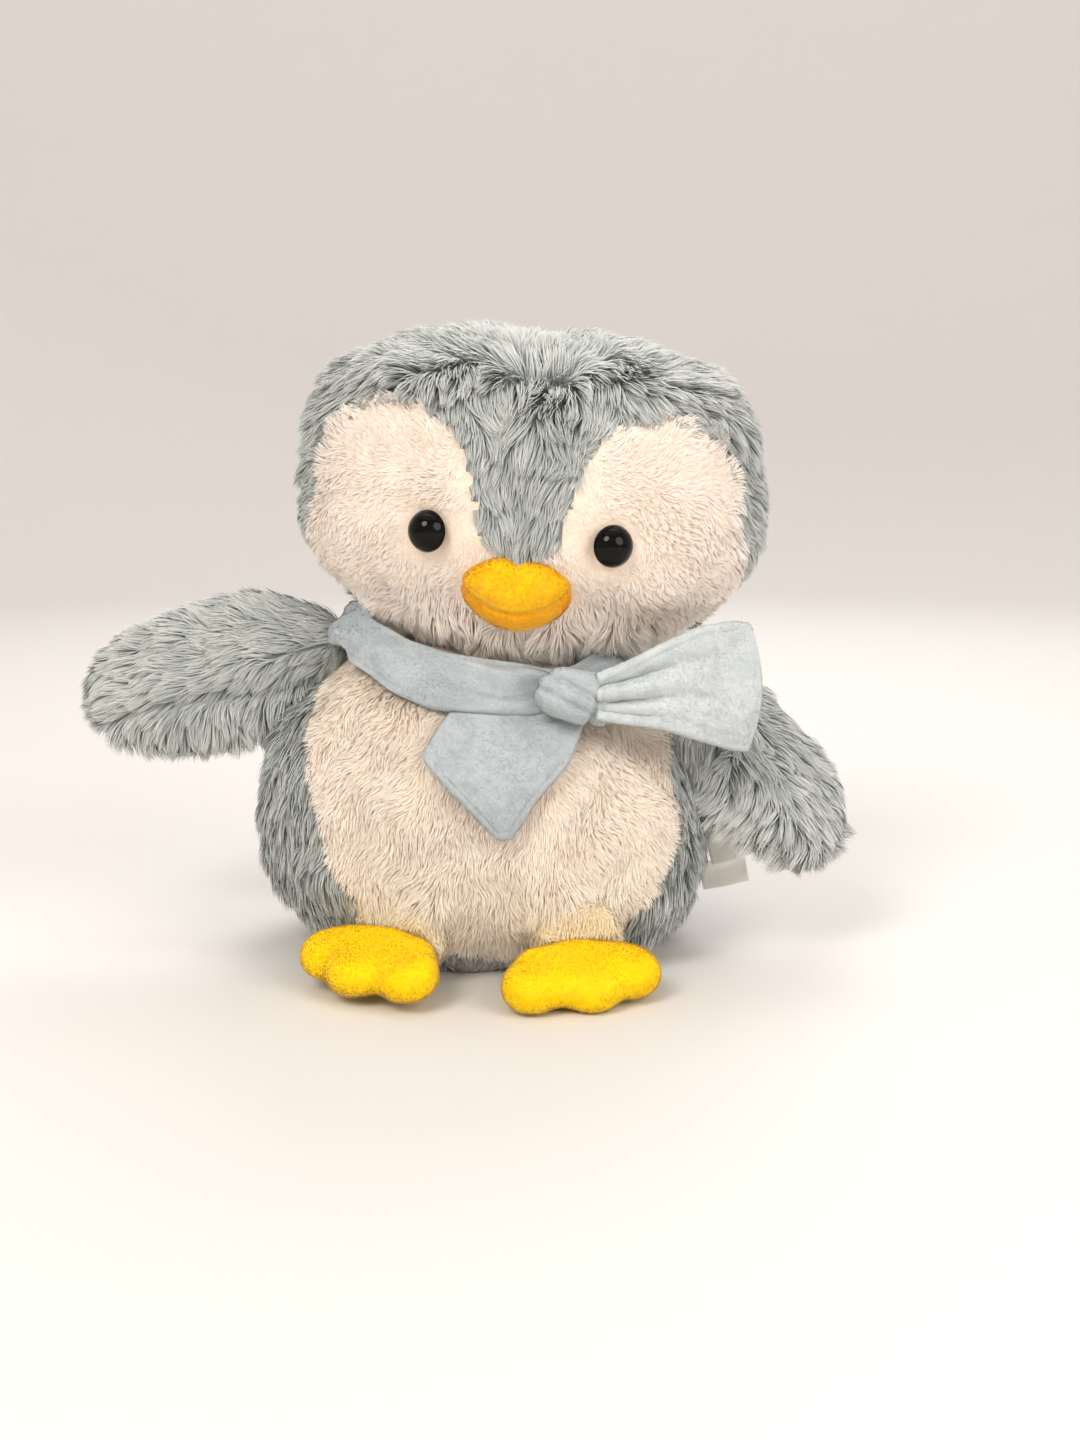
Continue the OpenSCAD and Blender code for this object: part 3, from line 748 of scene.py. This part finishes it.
def wing_pieces(word):
    """Skin and coat of a wing, and two points along its shoulder, the second BENDS mm further out than the
    first
    """
    side, shoulder_x, drop, twist, half_width, reach = WINGS[word]

    # the egg's Z runs along the wing, its X up the wing, its Y to the front
    def up_wing_dir(v):
        q = turn_x(np.stack([v[..., 2], -v[..., 1], v[..., 0]], -1), -twist)
        return lean(turn_about(q, FOLD, -drop) * [side, 1, 1])

    def up_wing(p):
        return up_wing_dir(p + [0, 0, SHOULDER_IN]) + lean(np.array([shoulder_x, 0, SHOULDER_Z]))

    wing = Egg((half_width, 10.5, reach, 44, 2.3, 2.0, 2.0), up_wing, wing_relief)
    skin = wing.skin(f"wing_{word}_skin", 60, 72, skin_grey)
    p, n = wing.scatter(230, 7 + side)
    P = up_wing(p)
    keep = (body.size(body_unplace(P)) > 0.985) & (head.size(head_unplace(P)) > 1.0)
    p, P, N = p[keep], P[keep], up_wing_dir(n[keep])
    u, v, w = p.T
    # the coat runs from the shoulder to the tip, and under the seam it hangs as a fringe
    under = smooth(-7, -14, u) * smooth(-4, 2, v)
    f = like(u, 0.02 * u + 0.4 * smooth(0, -25, w) * np.sign(u) - 1.9 * under, 0.0, 1.0 - 0.75 * under)
    length = 10.5 + 2.5 * under - 2.5 * smooth(-14, -34, w)
    coat = pile(f"wing_{word}_coat", fur_grey, P, N, tangent(up_wing_dir(f), N), length, 0.62, 25 + 8 * under,
                droop=0.25 + 0.25 * under, wander=0.4, steps=3, seed=80 + side, lock=50, clump=0.6,
                tone=0.74 + 0.2 * smooth(0, 50, w))
    return skin, coat, up_wing(np.array([0, 0, -SHOULDER_IN])), up_wing(np.array([0, 0, BENDS - SHOULDER_IN]))


wings = {word: wing_pieces(word) for word in WINGS}

# ---- short velvet


def on_mesh(ob, per_cm2, seed):
    """Even random points on a mesh, with smooth normals, in mm"""
    me = ob.data
    me.calc_loop_triangles()
    t, n = read(me.loop_triangles, "vertices", np.int32), read(me.vertex_normals, "vector")
    v = read(me.vertices, "co") * 1000
    a = np.linalg.norm(np.cross(v[t[:, 1]] - v[t[:, 0]], v[t[:, 2]] - v[t[:, 0]]), axis=1) / 2
    r = np.random.default_rng(seed)
    pick = r.choice(len(t), int(a.sum() / 100 * per_cm2 * thin), p=a / a.sum())
    u, w = r.uniform(size=(2, len(pick)))
    past = u + w > 1
    u, w = np.where(past, 1 - u, u), np.where(past, 1 - w, w)
    k = np.stack([1 - u - w, u, w], 1)[:, :, None]
    return (v[t[pick]] * k).sum(1), unit((n[t[pick]] * k).sum(1))


def fuzz(name, ob, material, per_cm2, length, width, flow, seed, tone=0.5, lift=62, keep=None):
    """Short velvet fibres over a piece, or over the part of it where keep is true"""
    P, N = on_mesh(ob, per_cm2, seed)
    if keep is not None:
        k = keep(P)
        P, N = P[k], N[k]
    F = tangent(np.broadcast_to(np.array(flow, float), P.shape), N)
    return pile(name, material, P, N, F, length, width, lift, droop=0.1, wander=1.1, steps=2, seed=seed,
                tone=tone, spread=0.4, soften=0.8, sink=0.1)


# ---- beak


def lie_down(v):
    """Lays an egg on its back, so that its Z points out of the toy's front and its Y up"""
    return np.stack([v[..., 0], -v[..., 2], v[..., 1]], -1)


BEAK_AT = np.array([0, head.front_y(0, BEAK_Z) + 2, BEAK_Z])
# the mouth's seam is an arc
MOUTH_RADIUS, MOUTH_TOP = 25.0, 7.7


def beak_place(p):
    return head_place(lie_down(p) + BEAK_AT)


def beak_unplace(p):
    q = head_unplace(p) - BEAK_AT
    return np.stack([q[..., 0], q[..., 2], -q[..., 1]], -1)


def above_mouth(p):
    """Height above the curved mouth seam"""
    across = np.minimum(np.abs(p[..., 0]), MOUTH_RADIUS - 1)
    return p[..., 1] + MOUTH_TOP - MOUTH_RADIUS + np.sqrt(MOUTH_RADIUS ** 2 - across ** 2)


def beak_relief(p):
    m = above_mouth(p)
    out = smooth(-2, 5, p[..., 2])
    r = -1.1 * dome((m, 0.8)) * out + 0.9 * dome((m - 6, 4.5)) + 0.8 * dome((m + 4.2, 2.4))
    # faint crease down the middle of the upper half
    r -= 0.35 * dome((p[..., 0] + 1, 1.2)) * smooth(5, 9, m)
    return r + 0.3 * small_lumps(p)


beak = Egg((18.6, 13.3, 14.5, 7, 2.3, 2.0, 1.72), beak_place, beak_relief)
beak_skin = beak.skin("beak_skin", 60, 96, beak_nap, beak_low_nap)
two_tone(beak_skin, lambda p: -above_mouth(p), beak_unplace)
beak_fuzz = fuzz("beak_fuzz", beak_skin, beak_pile, 700, 1.0, 0.22, (0, 0, -1), 91, tone=0.55)

# ---- legs and feet

# side, place and splay of each foot. In a foot's own frame Y runs back along the slope of the sole
FEET = {"left": (1, (40, -63, 19.7), 17), "right": (-1, (-26, -61, 22.7), -27)}
SLOPE = 16
# how far a foot lifts before its hinge meets the end of the leg
LEG_CUT = 13
TOES = [(17.5, -14.5, 9.4), (1.0, -20.6, 9.8), (-19.5, -18.5, 9.8)]
HEEL_Y, HEEL_HALF, HEEL_RADIUS, INSTEP_RADIUS = -9.0, 14, 8.0, 8.2
FOOT_UP, FOOT_DOWN = 6.6, 6.4


def foot_place(word):
    side, at, splay = FEET[word]
    return (lambda q: turn_z(turn_x(q, SLOPE) * [side, 1, 1], splay) + at,
            lambda p: turn_x(turn_z(p - at, -splay) * [side, 1, 1], -SLOPE))


def foot_field(q):
    """Distance outside the foot's outline in plan: a heel and three toes run softly together"""
    d = []
    a = np.array([0.0, HEEL_Y])
    for x, y, r in TOES:
        b = np.array([x, y]) - a
        t = np.clip(((q - a) @ b) / (b @ b), 0, 1)
        d.append(np.linalg.norm(q - a - t[..., None] * b, axis=-1) - INSTEP_RADIUS - (r - INSTEP_RADIUS) * t)
    t = np.clip(q[..., 0] / HEEL_HALF, -1, 1)
    d.append(np.hypot(q[..., 0] - HEEL_HALF * t, q[..., 1] - HEEL_Y) - HEEL_RADIUS)
    k = 3.2
    return -k * np.log(np.exp(-np.stack(d, -1) / k).sum(-1))


def foot_rays(cols):
    """Angle, direction and length of the rays from the foot's middle to its outline"""
    ang = np.linspace(0, math.tau, cols, endpoint=False)
    ray = np.stack([np.cos(ang), np.sin(ang)], 1)
    mid = np.array([0.0, -14.0])
    lo, hi = np.zeros(cols), np.full(cols, 45.0)
    for _ in range(24):
        m = (lo + hi) / 2
        out = foot_field(mid + ray * m[:, None]) > 0
        lo, hi = np.where(out, lo, m), np.where(out, m, hi)
    return ang, mid, ray * lo[:, None]


def foot_mesh(name, word):
    """Two flat halves sewn round their outline and stuffed"""
    side = FEET[word][0]
    rows, cols = 26, 144
    ang, mid, reach = foot_rays(cols)
    verts, uv = [], []
    for half, height in ((1, FOOT_UP), (-1, FOOT_DOWN)):
        # the lower half shares the seam's ring with the upper one
        for k in range(rows) if half > 0 else range(1, rows):
            q = mid + reach * (1 - (k / (rows - 1)) ** 1.5 * 0.999)
            inner = -foot_field(q)
            z = height * (1 - (1 - np.clip(inner / 7.5, 0, 1)) ** 2.5) ** (1 / 2.2) * half
            v = np.stack([q[:, 0], q[:, 1], z], 1)
            # gathers at the seam, and slack cloth on top
            rim = np.exp(-inner / 2.2) * (1 - np.exp(-inner / 0.7))
            v[:, 2] += half * 0.35 * rim * np.sin(ang * 31 + 2 * np.sin(ang * 3))
            v[:, 2] += 0.3 * small_lumps(v * 0.9 + 40 * side) * smooth(0, 3, inner)
            v[:, 2] -= 6.5
            verts.append(v)
            uv.append(0.5 + (q + [0, 16]) / 80)
    top = grid_faces(rows, cols, wrap=True)
    shared = np.concatenate([np.arange(cols), np.arange(cols, rows * cols) + (rows - 1) * cols])
    centre = np.arange(cols)[None, :] + (rows - 1) * cols
    faces = [top, shared[top[:, ::-1]], centre, shared[centre[:, ::-1]]]
    if side < 0:
        faces = [f[:, ::-1] for f in faces]
    w = foot_place(word)[0](np.concatenate(verts))
    w[:, 2] = np.maximum(w[:, 2], 0.1)
    return mesh_object(name, w, faces, np.concatenate(uv), materials=[foot_nap])


def leg_pieces(word):
    """Skin, coat and fuzz of a leg, whose egg lies on its back"""
    leg_x = LEG_X[word]
    to_world, to_foot = foot_place(word)

    def behind_foot(p, gap=0.8):
        """Keeps the leg's end clear of the foot, at rest and lifted"""
        q = to_foot(p)
        for turn in (LEG_CUT, -SLOPE):
            r = turn_x(q - [0, gap, 0], -turn)
            r[..., 1] = np.maximum(r[..., 1], 0)
            q = turn_x(r, turn) + [0, gap, 0]
        return to_world(q)

    def whole(p):
        return lie_down(p) + [leg_x, -46, 19]

    leg = Egg((17.5, 14.0, 22, 12, 2.6, 2.0, 2.6), lambda p: behind_foot(whole(p)),
              lambda p: 0.6 * small_lumps(p) - 0.8 * dome((p[..., 2] - 9, 2.5)))
    skin = leg.skin(f"leg_{word}_skin", 48, 64, skin_warm, flat_at=0.1)
    p, n = leg.scatter(190, 140 + leg_x)
    P = leg.place(p)
    back = to_foot(P)[:, 1]
    free = (np.linalg.norm(P - whole(p), axis=1) < 0.05) & (back > 3.2) & (P[:, 2] > 4) & (p[:, 2] > 2)
    P, N, back = P[free], lie_down(n[free]), back[free]
    F = tangent(like(back, 0.02 * (P[:, 0] - leg_x), -0.5, -0.7), N)
    coat = pile(f"leg_{word}_coat", fur_warm, P, N, F, 2.2 + 2.6 * smooth(2, 9, back), 0.6, 45, droop=0.2,
                wander=0.7, steps=2, seed=160 + leg_x, lock=14, clump=0.5)
    velvet = fuzz(f"leg_{word}_fuzz", skin, fur_warm, 300, 2.4, 0.38, (0, 0.1, -1), 180 + leg_x, tone=0.6,
                  lift=48, keep=lambda P: (P[:, 2] > 1) & (P[:, 1] < -50))
    return skin, coat, velvet


def foot_pieces(word):
    foot = foot_mesh(f"foot_{word}_skin", word)
    velvet = fuzz(f"foot_{word}_fuzz", foot, foot_pile, 420, 0.9, 0.22, (0.3, -1, 0), 220 + LEG_X[word],
                  tone=0.6, keep=lambda P: P[:, 2] > 0.6)
    return foot, velvet


legs, feet = {}, {}
for word in FEET:
    legs[word] = leg_pieces(word)
    feet[word] = foot_pieces(word)

# ---- scarf

scarf_waves, scarf_small = Waves(26, 51), Waves(10, 52)


def along(stops, x):
    """Smooth curve through (place, value) stops"""
    a = np.array(stops, float)
    i = np.clip(np.searchsorted(a[:, 0], x, side="right") - 1, 0, len(a) - 2)
    f = (x - a[i, 0]) / (a[i + 1, 0] - a[i, 0])
    return a[i, 1] + (a[i + 1, 1] - a[i, 1]) * (1 - np.cos(math.pi * f)) / 2


def bend(stops, x, soft):
    """Straight lines through (place, value) stops, with their corners rounded off over soft"""
    a = np.array(stops, float)
    return np.mean([np.interp(x + k * soft, a[:, 0], a[:, 1]) for k in (-1, -0.6, -0.2, 0.2, 0.6, 1)], 0)


def lap(D, at, w):
    """1 at a plan angle, fading over w degrees to each side"""
    return dome(((D - at + 180) % 360 - 180, w))


# height and half width of the band, by plan angle
BAND_START = -150
HEIGHTS = [(-150, 116), (-108, 109), (-66, 105.5), (-36, 109), (0, 107.5), (60, 108), (120, 112), (170, 117),
           (210, 119)]
WIDTHS = [(-150, 8.8), (-110, 10.8), (-85, 10.0), (-66, 8.0), (-45, 8.5), (0, 9.5), (150, 9.2), (210, 8.8)]
BAND_SLOPE = math.radians(32)
BAND_HALF_THICK = 2.7


def band_mesh():
    """A flat tube round the neck, sloping and gathered at the knot"""
    rows, cols = 280, 44
    t = np.radians(np.linspace(BAND_START, BAND_START + 360, rows, endpoint=False))
    a = np.linspace(0, math.tau, cols, endpoint=False)
    T, A = np.meshgrid(t, a, indexing="ij")
    D = np.degrees(T)

    def squared(v, power=0.9):
        return np.sign(v) * np.abs(v) ** power

    mid = np.stack([11 + 50 * squared(np.cos(T)), -1 + 53 * squared(np.sin(T)), along(HEIGHTS, D)], -1)
    mid += lap(D, -172, 30)[..., None] * [-10.0, 0, 7.5]
    c, s = math.cos(BAND_SLOPE), math.sin(BAND_SLOPE)
    up = np.stack([-s * np.cos(T), -s * np.sin(T), c + 0 * T], -1)
    thick = np.stack([c * np.cos(T), c * np.sin(T), s + 0 * T], -1)
    across = np.sin(A)
    near_knot = lap(D, -72, 30)
    fold = (0.9 + 1.1 * near_knot) * np.sin(across * (3.0 + 2.0 * near_knot) + 0.06 * (D + 66)
                                            + 0.6 * scarf_waves(mid))
    fold += 0.55 * scarf_small(mid + across[..., None] * 7)
    hem = -0.5 * dome((np.abs(across) - 0.8, 0.07)) * (np.cos(A) > -0.2)
    outward = BAND_HALF_THICK * squared(np.cos(A), 0.55) + fold * (1 - across ** 4) + hem
    upward = along(WIDTHS, D) * across + 0.8 * scarf_waves(mid + 60)
    v = mid + thick * outward[..., None] + up * upward[..., None]
    uv = np.stack([0.02 + 0.96 * A / (math.tau), 0.02 + 0.96 * (D - BAND_START) / 360], -1).reshape(-1, 2)
    i, j = [k.ravel() for k in np.meshgrid(np.arange(rows), np.arange(cols), indexing="ij")]
    i2, j2 = (i + 1) % rows, (j + 1) % cols
    faces = np.stack([i * cols + j, i2 * cols + j, i2 * cols + j2, i * cols + j2], 1)
    return mesh_object("scarf_band_cloth", v.reshape(-1, 3), [faces], uv, materials=[scarf_nap])


def unit_grid(rows, cols):
    """v down the rows and u along the columns, both from 0 to 1"""
    return np.meshgrid(np.linspace(0, 1, rows), np.linspace(0, 1, cols), indexing="ij")


def two_layers(M, half_t):
    """Front then back of a cloth, as points and their map. M is its middle surface (rows, cols, 3)"""
    N = unit(np.cross(np.gradient(M, axis=1), np.gradient(M, axis=0)))
    t = np.broadcast_to(half_t, M.shape[:2])[..., None]
    v, u = [0.02 + 0.96 * k.ravel() for k in unit_grid(*M.shape[:2])]
    layers = [(M + N * t).reshape(-1, 3), (M - N * t).reshape(-1, 3)]
    return np.concatenate(layers), np.tile(np.stack([u, v], 1), (2, 1))


HEM = 3.2


def turned_cloth(name, M, from_edge, half_t, material):
    """Two layers of cloth sewn round their edge, turned and stitched at the hem"""
    rows, cols = M.shape[:2]
    t = half_t * np.sqrt(np.clip(1 - (1 - np.clip(from_edge / 2.0, 0, 1)) ** 2, 0, 1))
    t -= 0.35 * dome((from_edge - HEM, 0.55)) * (t > 0)
    t += 0.25 * scarf_small(M * 1.6) * smooth(HEM, HEM + 3, from_edge)
    rim = np.ones((rows, cols), bool)
    rim[1:-1, 1:-1] = False
    t[rim] = 0
    verts, uv = two_layers(M, t)
    index = np.arange(rows * cols) + np.where(rim.ravel(), 0, rows * cols)
    faces = grid_faces(rows, cols)
    return mesh_object(name, verts, [faces, index[faces][:, ::-1]], uv, materials=[material])


def from_edge(u, v, width, height):
    """Distance from the edge of a roughly rectangular cut"""
    return np.minimum(np.minimum(u, 1 - u) * width, np.minimum(v, 1 - v) * height)


def kite_mesh():
    """The tail down the belly, from left and right outlines"""
    v, u = unit_grid(70, 60)
    z = 99 - 42 * v
    right = bend([(0, -3), (0.06, -6), (0.36, -13.6), (1.0, 14)], v, 0.05)
    left = bend([(0, 43), (0.07, 43.5), (0.41, 38), (0.68, 27.5), (1.0, 18.5)], v, 0.05)
    x = right + (left - right) * u
    q = body_unplace(np.stack([x, 0 * x, z], -1))
    y = body.front_y(q[..., 0], q[..., 2]) - 7.2
    # folds run down from the knot, and the lower part lies off the belly
    y -= 1.5 * dome((u - 0.80 + 0.1 * v, 0.07)) * smooth(0.75, 0.1, v)
    y += 1.6 * dome((u - 0.62 + 0.1 * v, 0.08)) * smooth(0.6, 0.05, v)
    y += 1.1 * np.sin(5.5 * u + 2.2 * v) * smooth(0, 0.4, v) * (1 - 0.3 * v)
    M = np.stack([x, y, z], -1)
    M[..., 1] += 0.7 * scarf_waves(M)
    edge = from_edge(u, v, np.maximum(left - right, 4), 42)
    return turned_cloth("scarf_kite_cloth", M, edge, 1.5, scarf_nap)


def flare_mesh():
    """The tail out to the side, from upper and lower outlines, pleated where it leaves the knot"""
    v, u = unit_grid(60, 84)
    x = bend([(0, 46), (0.2, 58), (0.45, 73), (0.7, 87), (0.9, 98), (1, 102.5)], u, 0.06)
    y = bend([(0, -62.5), (0.2, -61.5), (0.45, -57.5), (0.7, -51), (0.9, -44), (1, -40.5)], u, 0.06)
    low = bend([(0, 97.5), (0.2, 95.5), (0.45, 92.5), (0.7, 87), (0.9, 83), (1, 82.5)], u, 0.05)
    high = bend([(0, 113), (0.2, 118), (0.42, 124.5), (0.62, 129), (0.85, 130), (1, 128.5)], u, 0.05)
    z = high + (low - high) * v
    # the end bulges out
    x = x + 4.5 * (1 - (2 * v - 1) ** 2) * smooth(0.7, 1, u) - 1.5 * smooth(0.6, 1, u)
    fade = smooth(0.95, 0.0, u)
    for at, width, depth in ((0.30, 0.09, 3.4), (0.62, 0.08, 3.0), (0.84, 0.05, 1.6)):
        pleat = 0.5 + (at - 0.5) * (0.9 + 0.25 * u)
        y = y + depth * fade * dome((v - pleat, width * (1.2 - 0.4 * u)))
    y = y - 2.0 * fade * dome((v - 0.46, 0.1))
    y = y + 1.2 * np.sin(4.2 * v + 3 * u) * smooth(0.2, 0.8, u)
    M = np.stack([x, y, z], -1)
    M[..., 1] += 0.8 * scarf_waves(M + 20)
    edge = from_edge(u, v, 58, np.maximum(high - low, 4))
    return turned_cloth("scarf_flare_cloth", M, edge, 1.6, scarf_painted_lit)


def knot_place(p):
    return turn_z(turn_y(p, 12), 18) + [40.8, -59.8, 104.8]


def knot_relief(p):
    """The band passes over the tails: two long folds fall to the right, and a short tuck closes them"""
    x, z = p[..., 0], p[..., 2]
    r = -1.3 * dome((z - 2.6 + 0.35 * x, 1.3)) * smooth(9, 3, x)
    r -= 0.9 * dome((z + 3.4 + 0.30 * x, 1.3)) * smooth(9, 3, x)
    r -= 1.6 * dome((x - 6.2 - 0.12 * z, 1.2))
    r += 0.8 * dome((x - 9.5, 2.5))
    return r + 0.35 * scarf_small(p)


band = band_mesh()
kite = kite_mesh()
flare = flare_mesh()
knot_egg = Egg((15.5, 5.8, 9.4, 9.0, 2.6, 2.6, 2.2), knot_place, knot_relief)
knot = knot_egg.skin("scarf_knot_cloth", 56, 80, scarf_nap)
scarf = [band, kite, flare, knot]
scarf_fuzz = []
for k, (o, per_cm2) in enumerate(zip(scarf, (260, 300, 300, 400))):
    # the side tail takes the paler copy of the scarf cloth: painted light
    velvet = scarf_light_pile if o is flare else scarf_pile
    scarf_fuzz.append(fuzz(o.name.replace("cloth", "fuzz"), o, velvet, per_cm2, 0.75, 0.2, (0.5, -0.3, -1),
                           101 + k, tone=0.55))

# ---- care labels: blank woven satin

satin = nap_material("label_satin", ("#f5f0e9", "#faf7f2", "#fffdfa"), patch=0.006, grain=0.0003,
                     roughness=0.45, sheen=0.1, bump=0.1)
LABEL_HALF_THICK = 0.14


def label_mesh(name, width, height, at, curl, tilt):
    """A label sewn in along one edge, which curls back and twists a little"""
    rows, cols = 24, 20
    v, u = unit_grid(rows, cols)
    y = curl * (u ** 2) + 0.9 * np.sin(3 * v + 1.5 * u) - 1.5 * v * u
    M = turn_y(np.stack([u * width, y, -v * height], -1), tilt) + at
    verts, uv = two_layers(M, LABEL_HALF_THICK)
    k = rows * cols
    g = grid_faces(rows, cols)
    edge = np.concatenate([np.arange(cols - 1), np.arange(rows - 1) * cols + cols - 1,
                           (rows - 1) * cols + np.arange(cols - 1, 0, -1), np.arange(rows - 1, 0, -1) * cols])
    after = np.roll(edge, -1)
    rim = np.stack([edge, edge + k, after + k, after], 1)
    return mesh_object(name, verts, [g, g[:, ::-1] + k, rim], uv, materials=[satin])


labels = [label_mesh("label_large_satin", 16, 17, (87.6, 2.6, 46), 7.5, -13),
          label_mesh("label_small_satin", 18, 11, (86.5, 4.4, 30), 5.5, -10)]

# ---- neck

neck = Egg((16, 16, 16, 16, 2, 2, 2), lambda p: p + NECK_AT, lambda p: 0.5 * small_lumps(p))
neck_skin = neck.skin("neck_wad", 30, 48, skin_grey)

# ---- eyes, washers and thread keep their CAD meshes

eye_black = plain_material("eye_gloss", (0.002, 0.002, 0.0022), 0.05, Specular_IOR_Level=0.18)
washer_white = plain_material("washer_white", (0.75, 0.74, 0.7), 0.5)
thread = nap_material("thread", ("#7f8988", "#98a2a0", "#adb5b2"), patch=0.004, grain=0.0004)
for node, material in (("eye_left", eye_black), ("eye_right", eye_black), ("neck_thread", thread),
                       ("eye_washer_left", washer_white), ("eye_washer_right", washer_white)):
    materials = bpy.data.objects[node].data.materials
    materials.clear()
    materials.append(material)

# -------- floor and light

BOWL_RADIUS, BOWL_CORNER, BOWL_HEIGHT = 1500, 700, 3600


def bowl_mesh(cols=96):
    """A round floor that turns up into a wall"""
    corner = [(BOWL_RADIUS + BOWL_CORNER * math.sin(a), BOWL_CORNER - BOWL_CORNER * math.cos(a))
              for a in np.linspace(0.1, 1.571, 14)]
    rise = [(0.1, 0), (BOWL_RADIUS, 0)] + corner + [(BOWL_RADIUS + BOWL_CORNER, BOWL_HEIGHT)]
    around = np.linspace(0, math.tau, cols, endpoint=False)
    v = np.array([[r * math.cos(a), r * math.sin(a), z] for r, z in rise for a in around])
    paint = plain_material("floor", (0.76, 0.74, 0.72), 0.7)
    return mesh_object("floor", v, [grid_faces(len(rise), cols, wrap=True)], materials=[paint])


bowl_mesh()

world = bpy.data.worlds.new("world")
scene.world = world
world.use_nodes = True
put(world.node_tree.nodes["Background"], Color=(1.0, 0.965, 0.93, 1), Strength=0.55)


def area_light(name, at, towards, size, watts, colour=(1, 1, 1)):
    data = bpy.data.lights.new(name, "AREA")
    data.shape = "DISK"
    data.size = size
    data.energy = watts
    data.color = colour
    ob = bpy.data.objects.new(name, data)
    ob.location = at
    ob.rotation_euler = (Vector(towards) - Vector(at)).to_track_quat("-Z", "Y").to_euler()
    scene.collection.objects.link(ob)


area_light("key", (-0.55, -1.1, 1.15), (0, 0, 0.12), size=0.7, watts=14, colour=(1, 0.95, 0.88))
area_light("fill", (0.9, -0.8, 0.7), (0, 0, 0.12), size=0.9, watts=8, colour=(1, 0.96, 0.92))
area_light("back", (0.2, 1.0, 1.2), (0, 0, 0.14), size=0.9, watts=8)
area_light("top", (0, 0.1, 2.2), (0, 0, 0), size=2.6, watts=5, colour=(1, 0.97, 0.94))
area_light("wall", (0, 0.5, 2.3), (0, 2.2, 0.8), size=1.6, watts=9, colour=(1, 0.97, 0.95))

# -------- what each piece moves with

band_fuzz, kite_fuzz, flare_fuzz, knot_fuzz = scarf_fuzz
RIDES = {"head": [head_skin, beak_skin, beak_fuzz, *head_coats],
         "torso": [body_skin, band, knot, band_fuzz, knot_fuzz, *body_coats, *sum(legs.values(), ())],
         "scarf_tail_front": [kite, kite_fuzz], "scarf_tail_side": [flare, flare_fuzz],
         "care_labels": labels, "neck_wad": [neck_skin],
         "foot_left": feet["left"], "foot_right": feet["right"]}
for rigid, pieces in RIDES.items():
    for o in pieces:
        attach(o, rigid)
for word, (skin, coat, shoulder, shoulder_end) in wings.items():
    for o in (skin, coat):
        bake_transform(o)

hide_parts("forehead_panel", "head_back_left", "head_back_right", "face_patch_left",
            "face_patch_right", "head_stuffing")
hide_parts("belly_panel", "back_panel_left", "back_panel_right", "base_panel", "body_stuffing",
            "bean_pouch")
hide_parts("beak_upper", "beak_lower", "beak_stuffing")
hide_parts("neck_stuffing")
wing_skins, foot_skins, leg_skins = [[made[0] for made in both.values()] for both in (wings, feet, legs)]
for word, wing, foot, leg in zip(wings, wing_skins, foot_skins, leg_skins):
    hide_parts(f"wing_{word}_outer", f"wing_{word}_inner", f"wing_{word}_stuffing")
    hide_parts(f"foot_{word}_top", f"foot_{word}_sole", f"foot_{word}_stuffing")
    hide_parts(f"leg_{word}")
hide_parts("scarf_band")
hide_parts("scarf_knot")
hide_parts("scarf_tail_front")
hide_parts("scarf_tail_side")
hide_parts("care_label_large")
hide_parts("care_label_small")
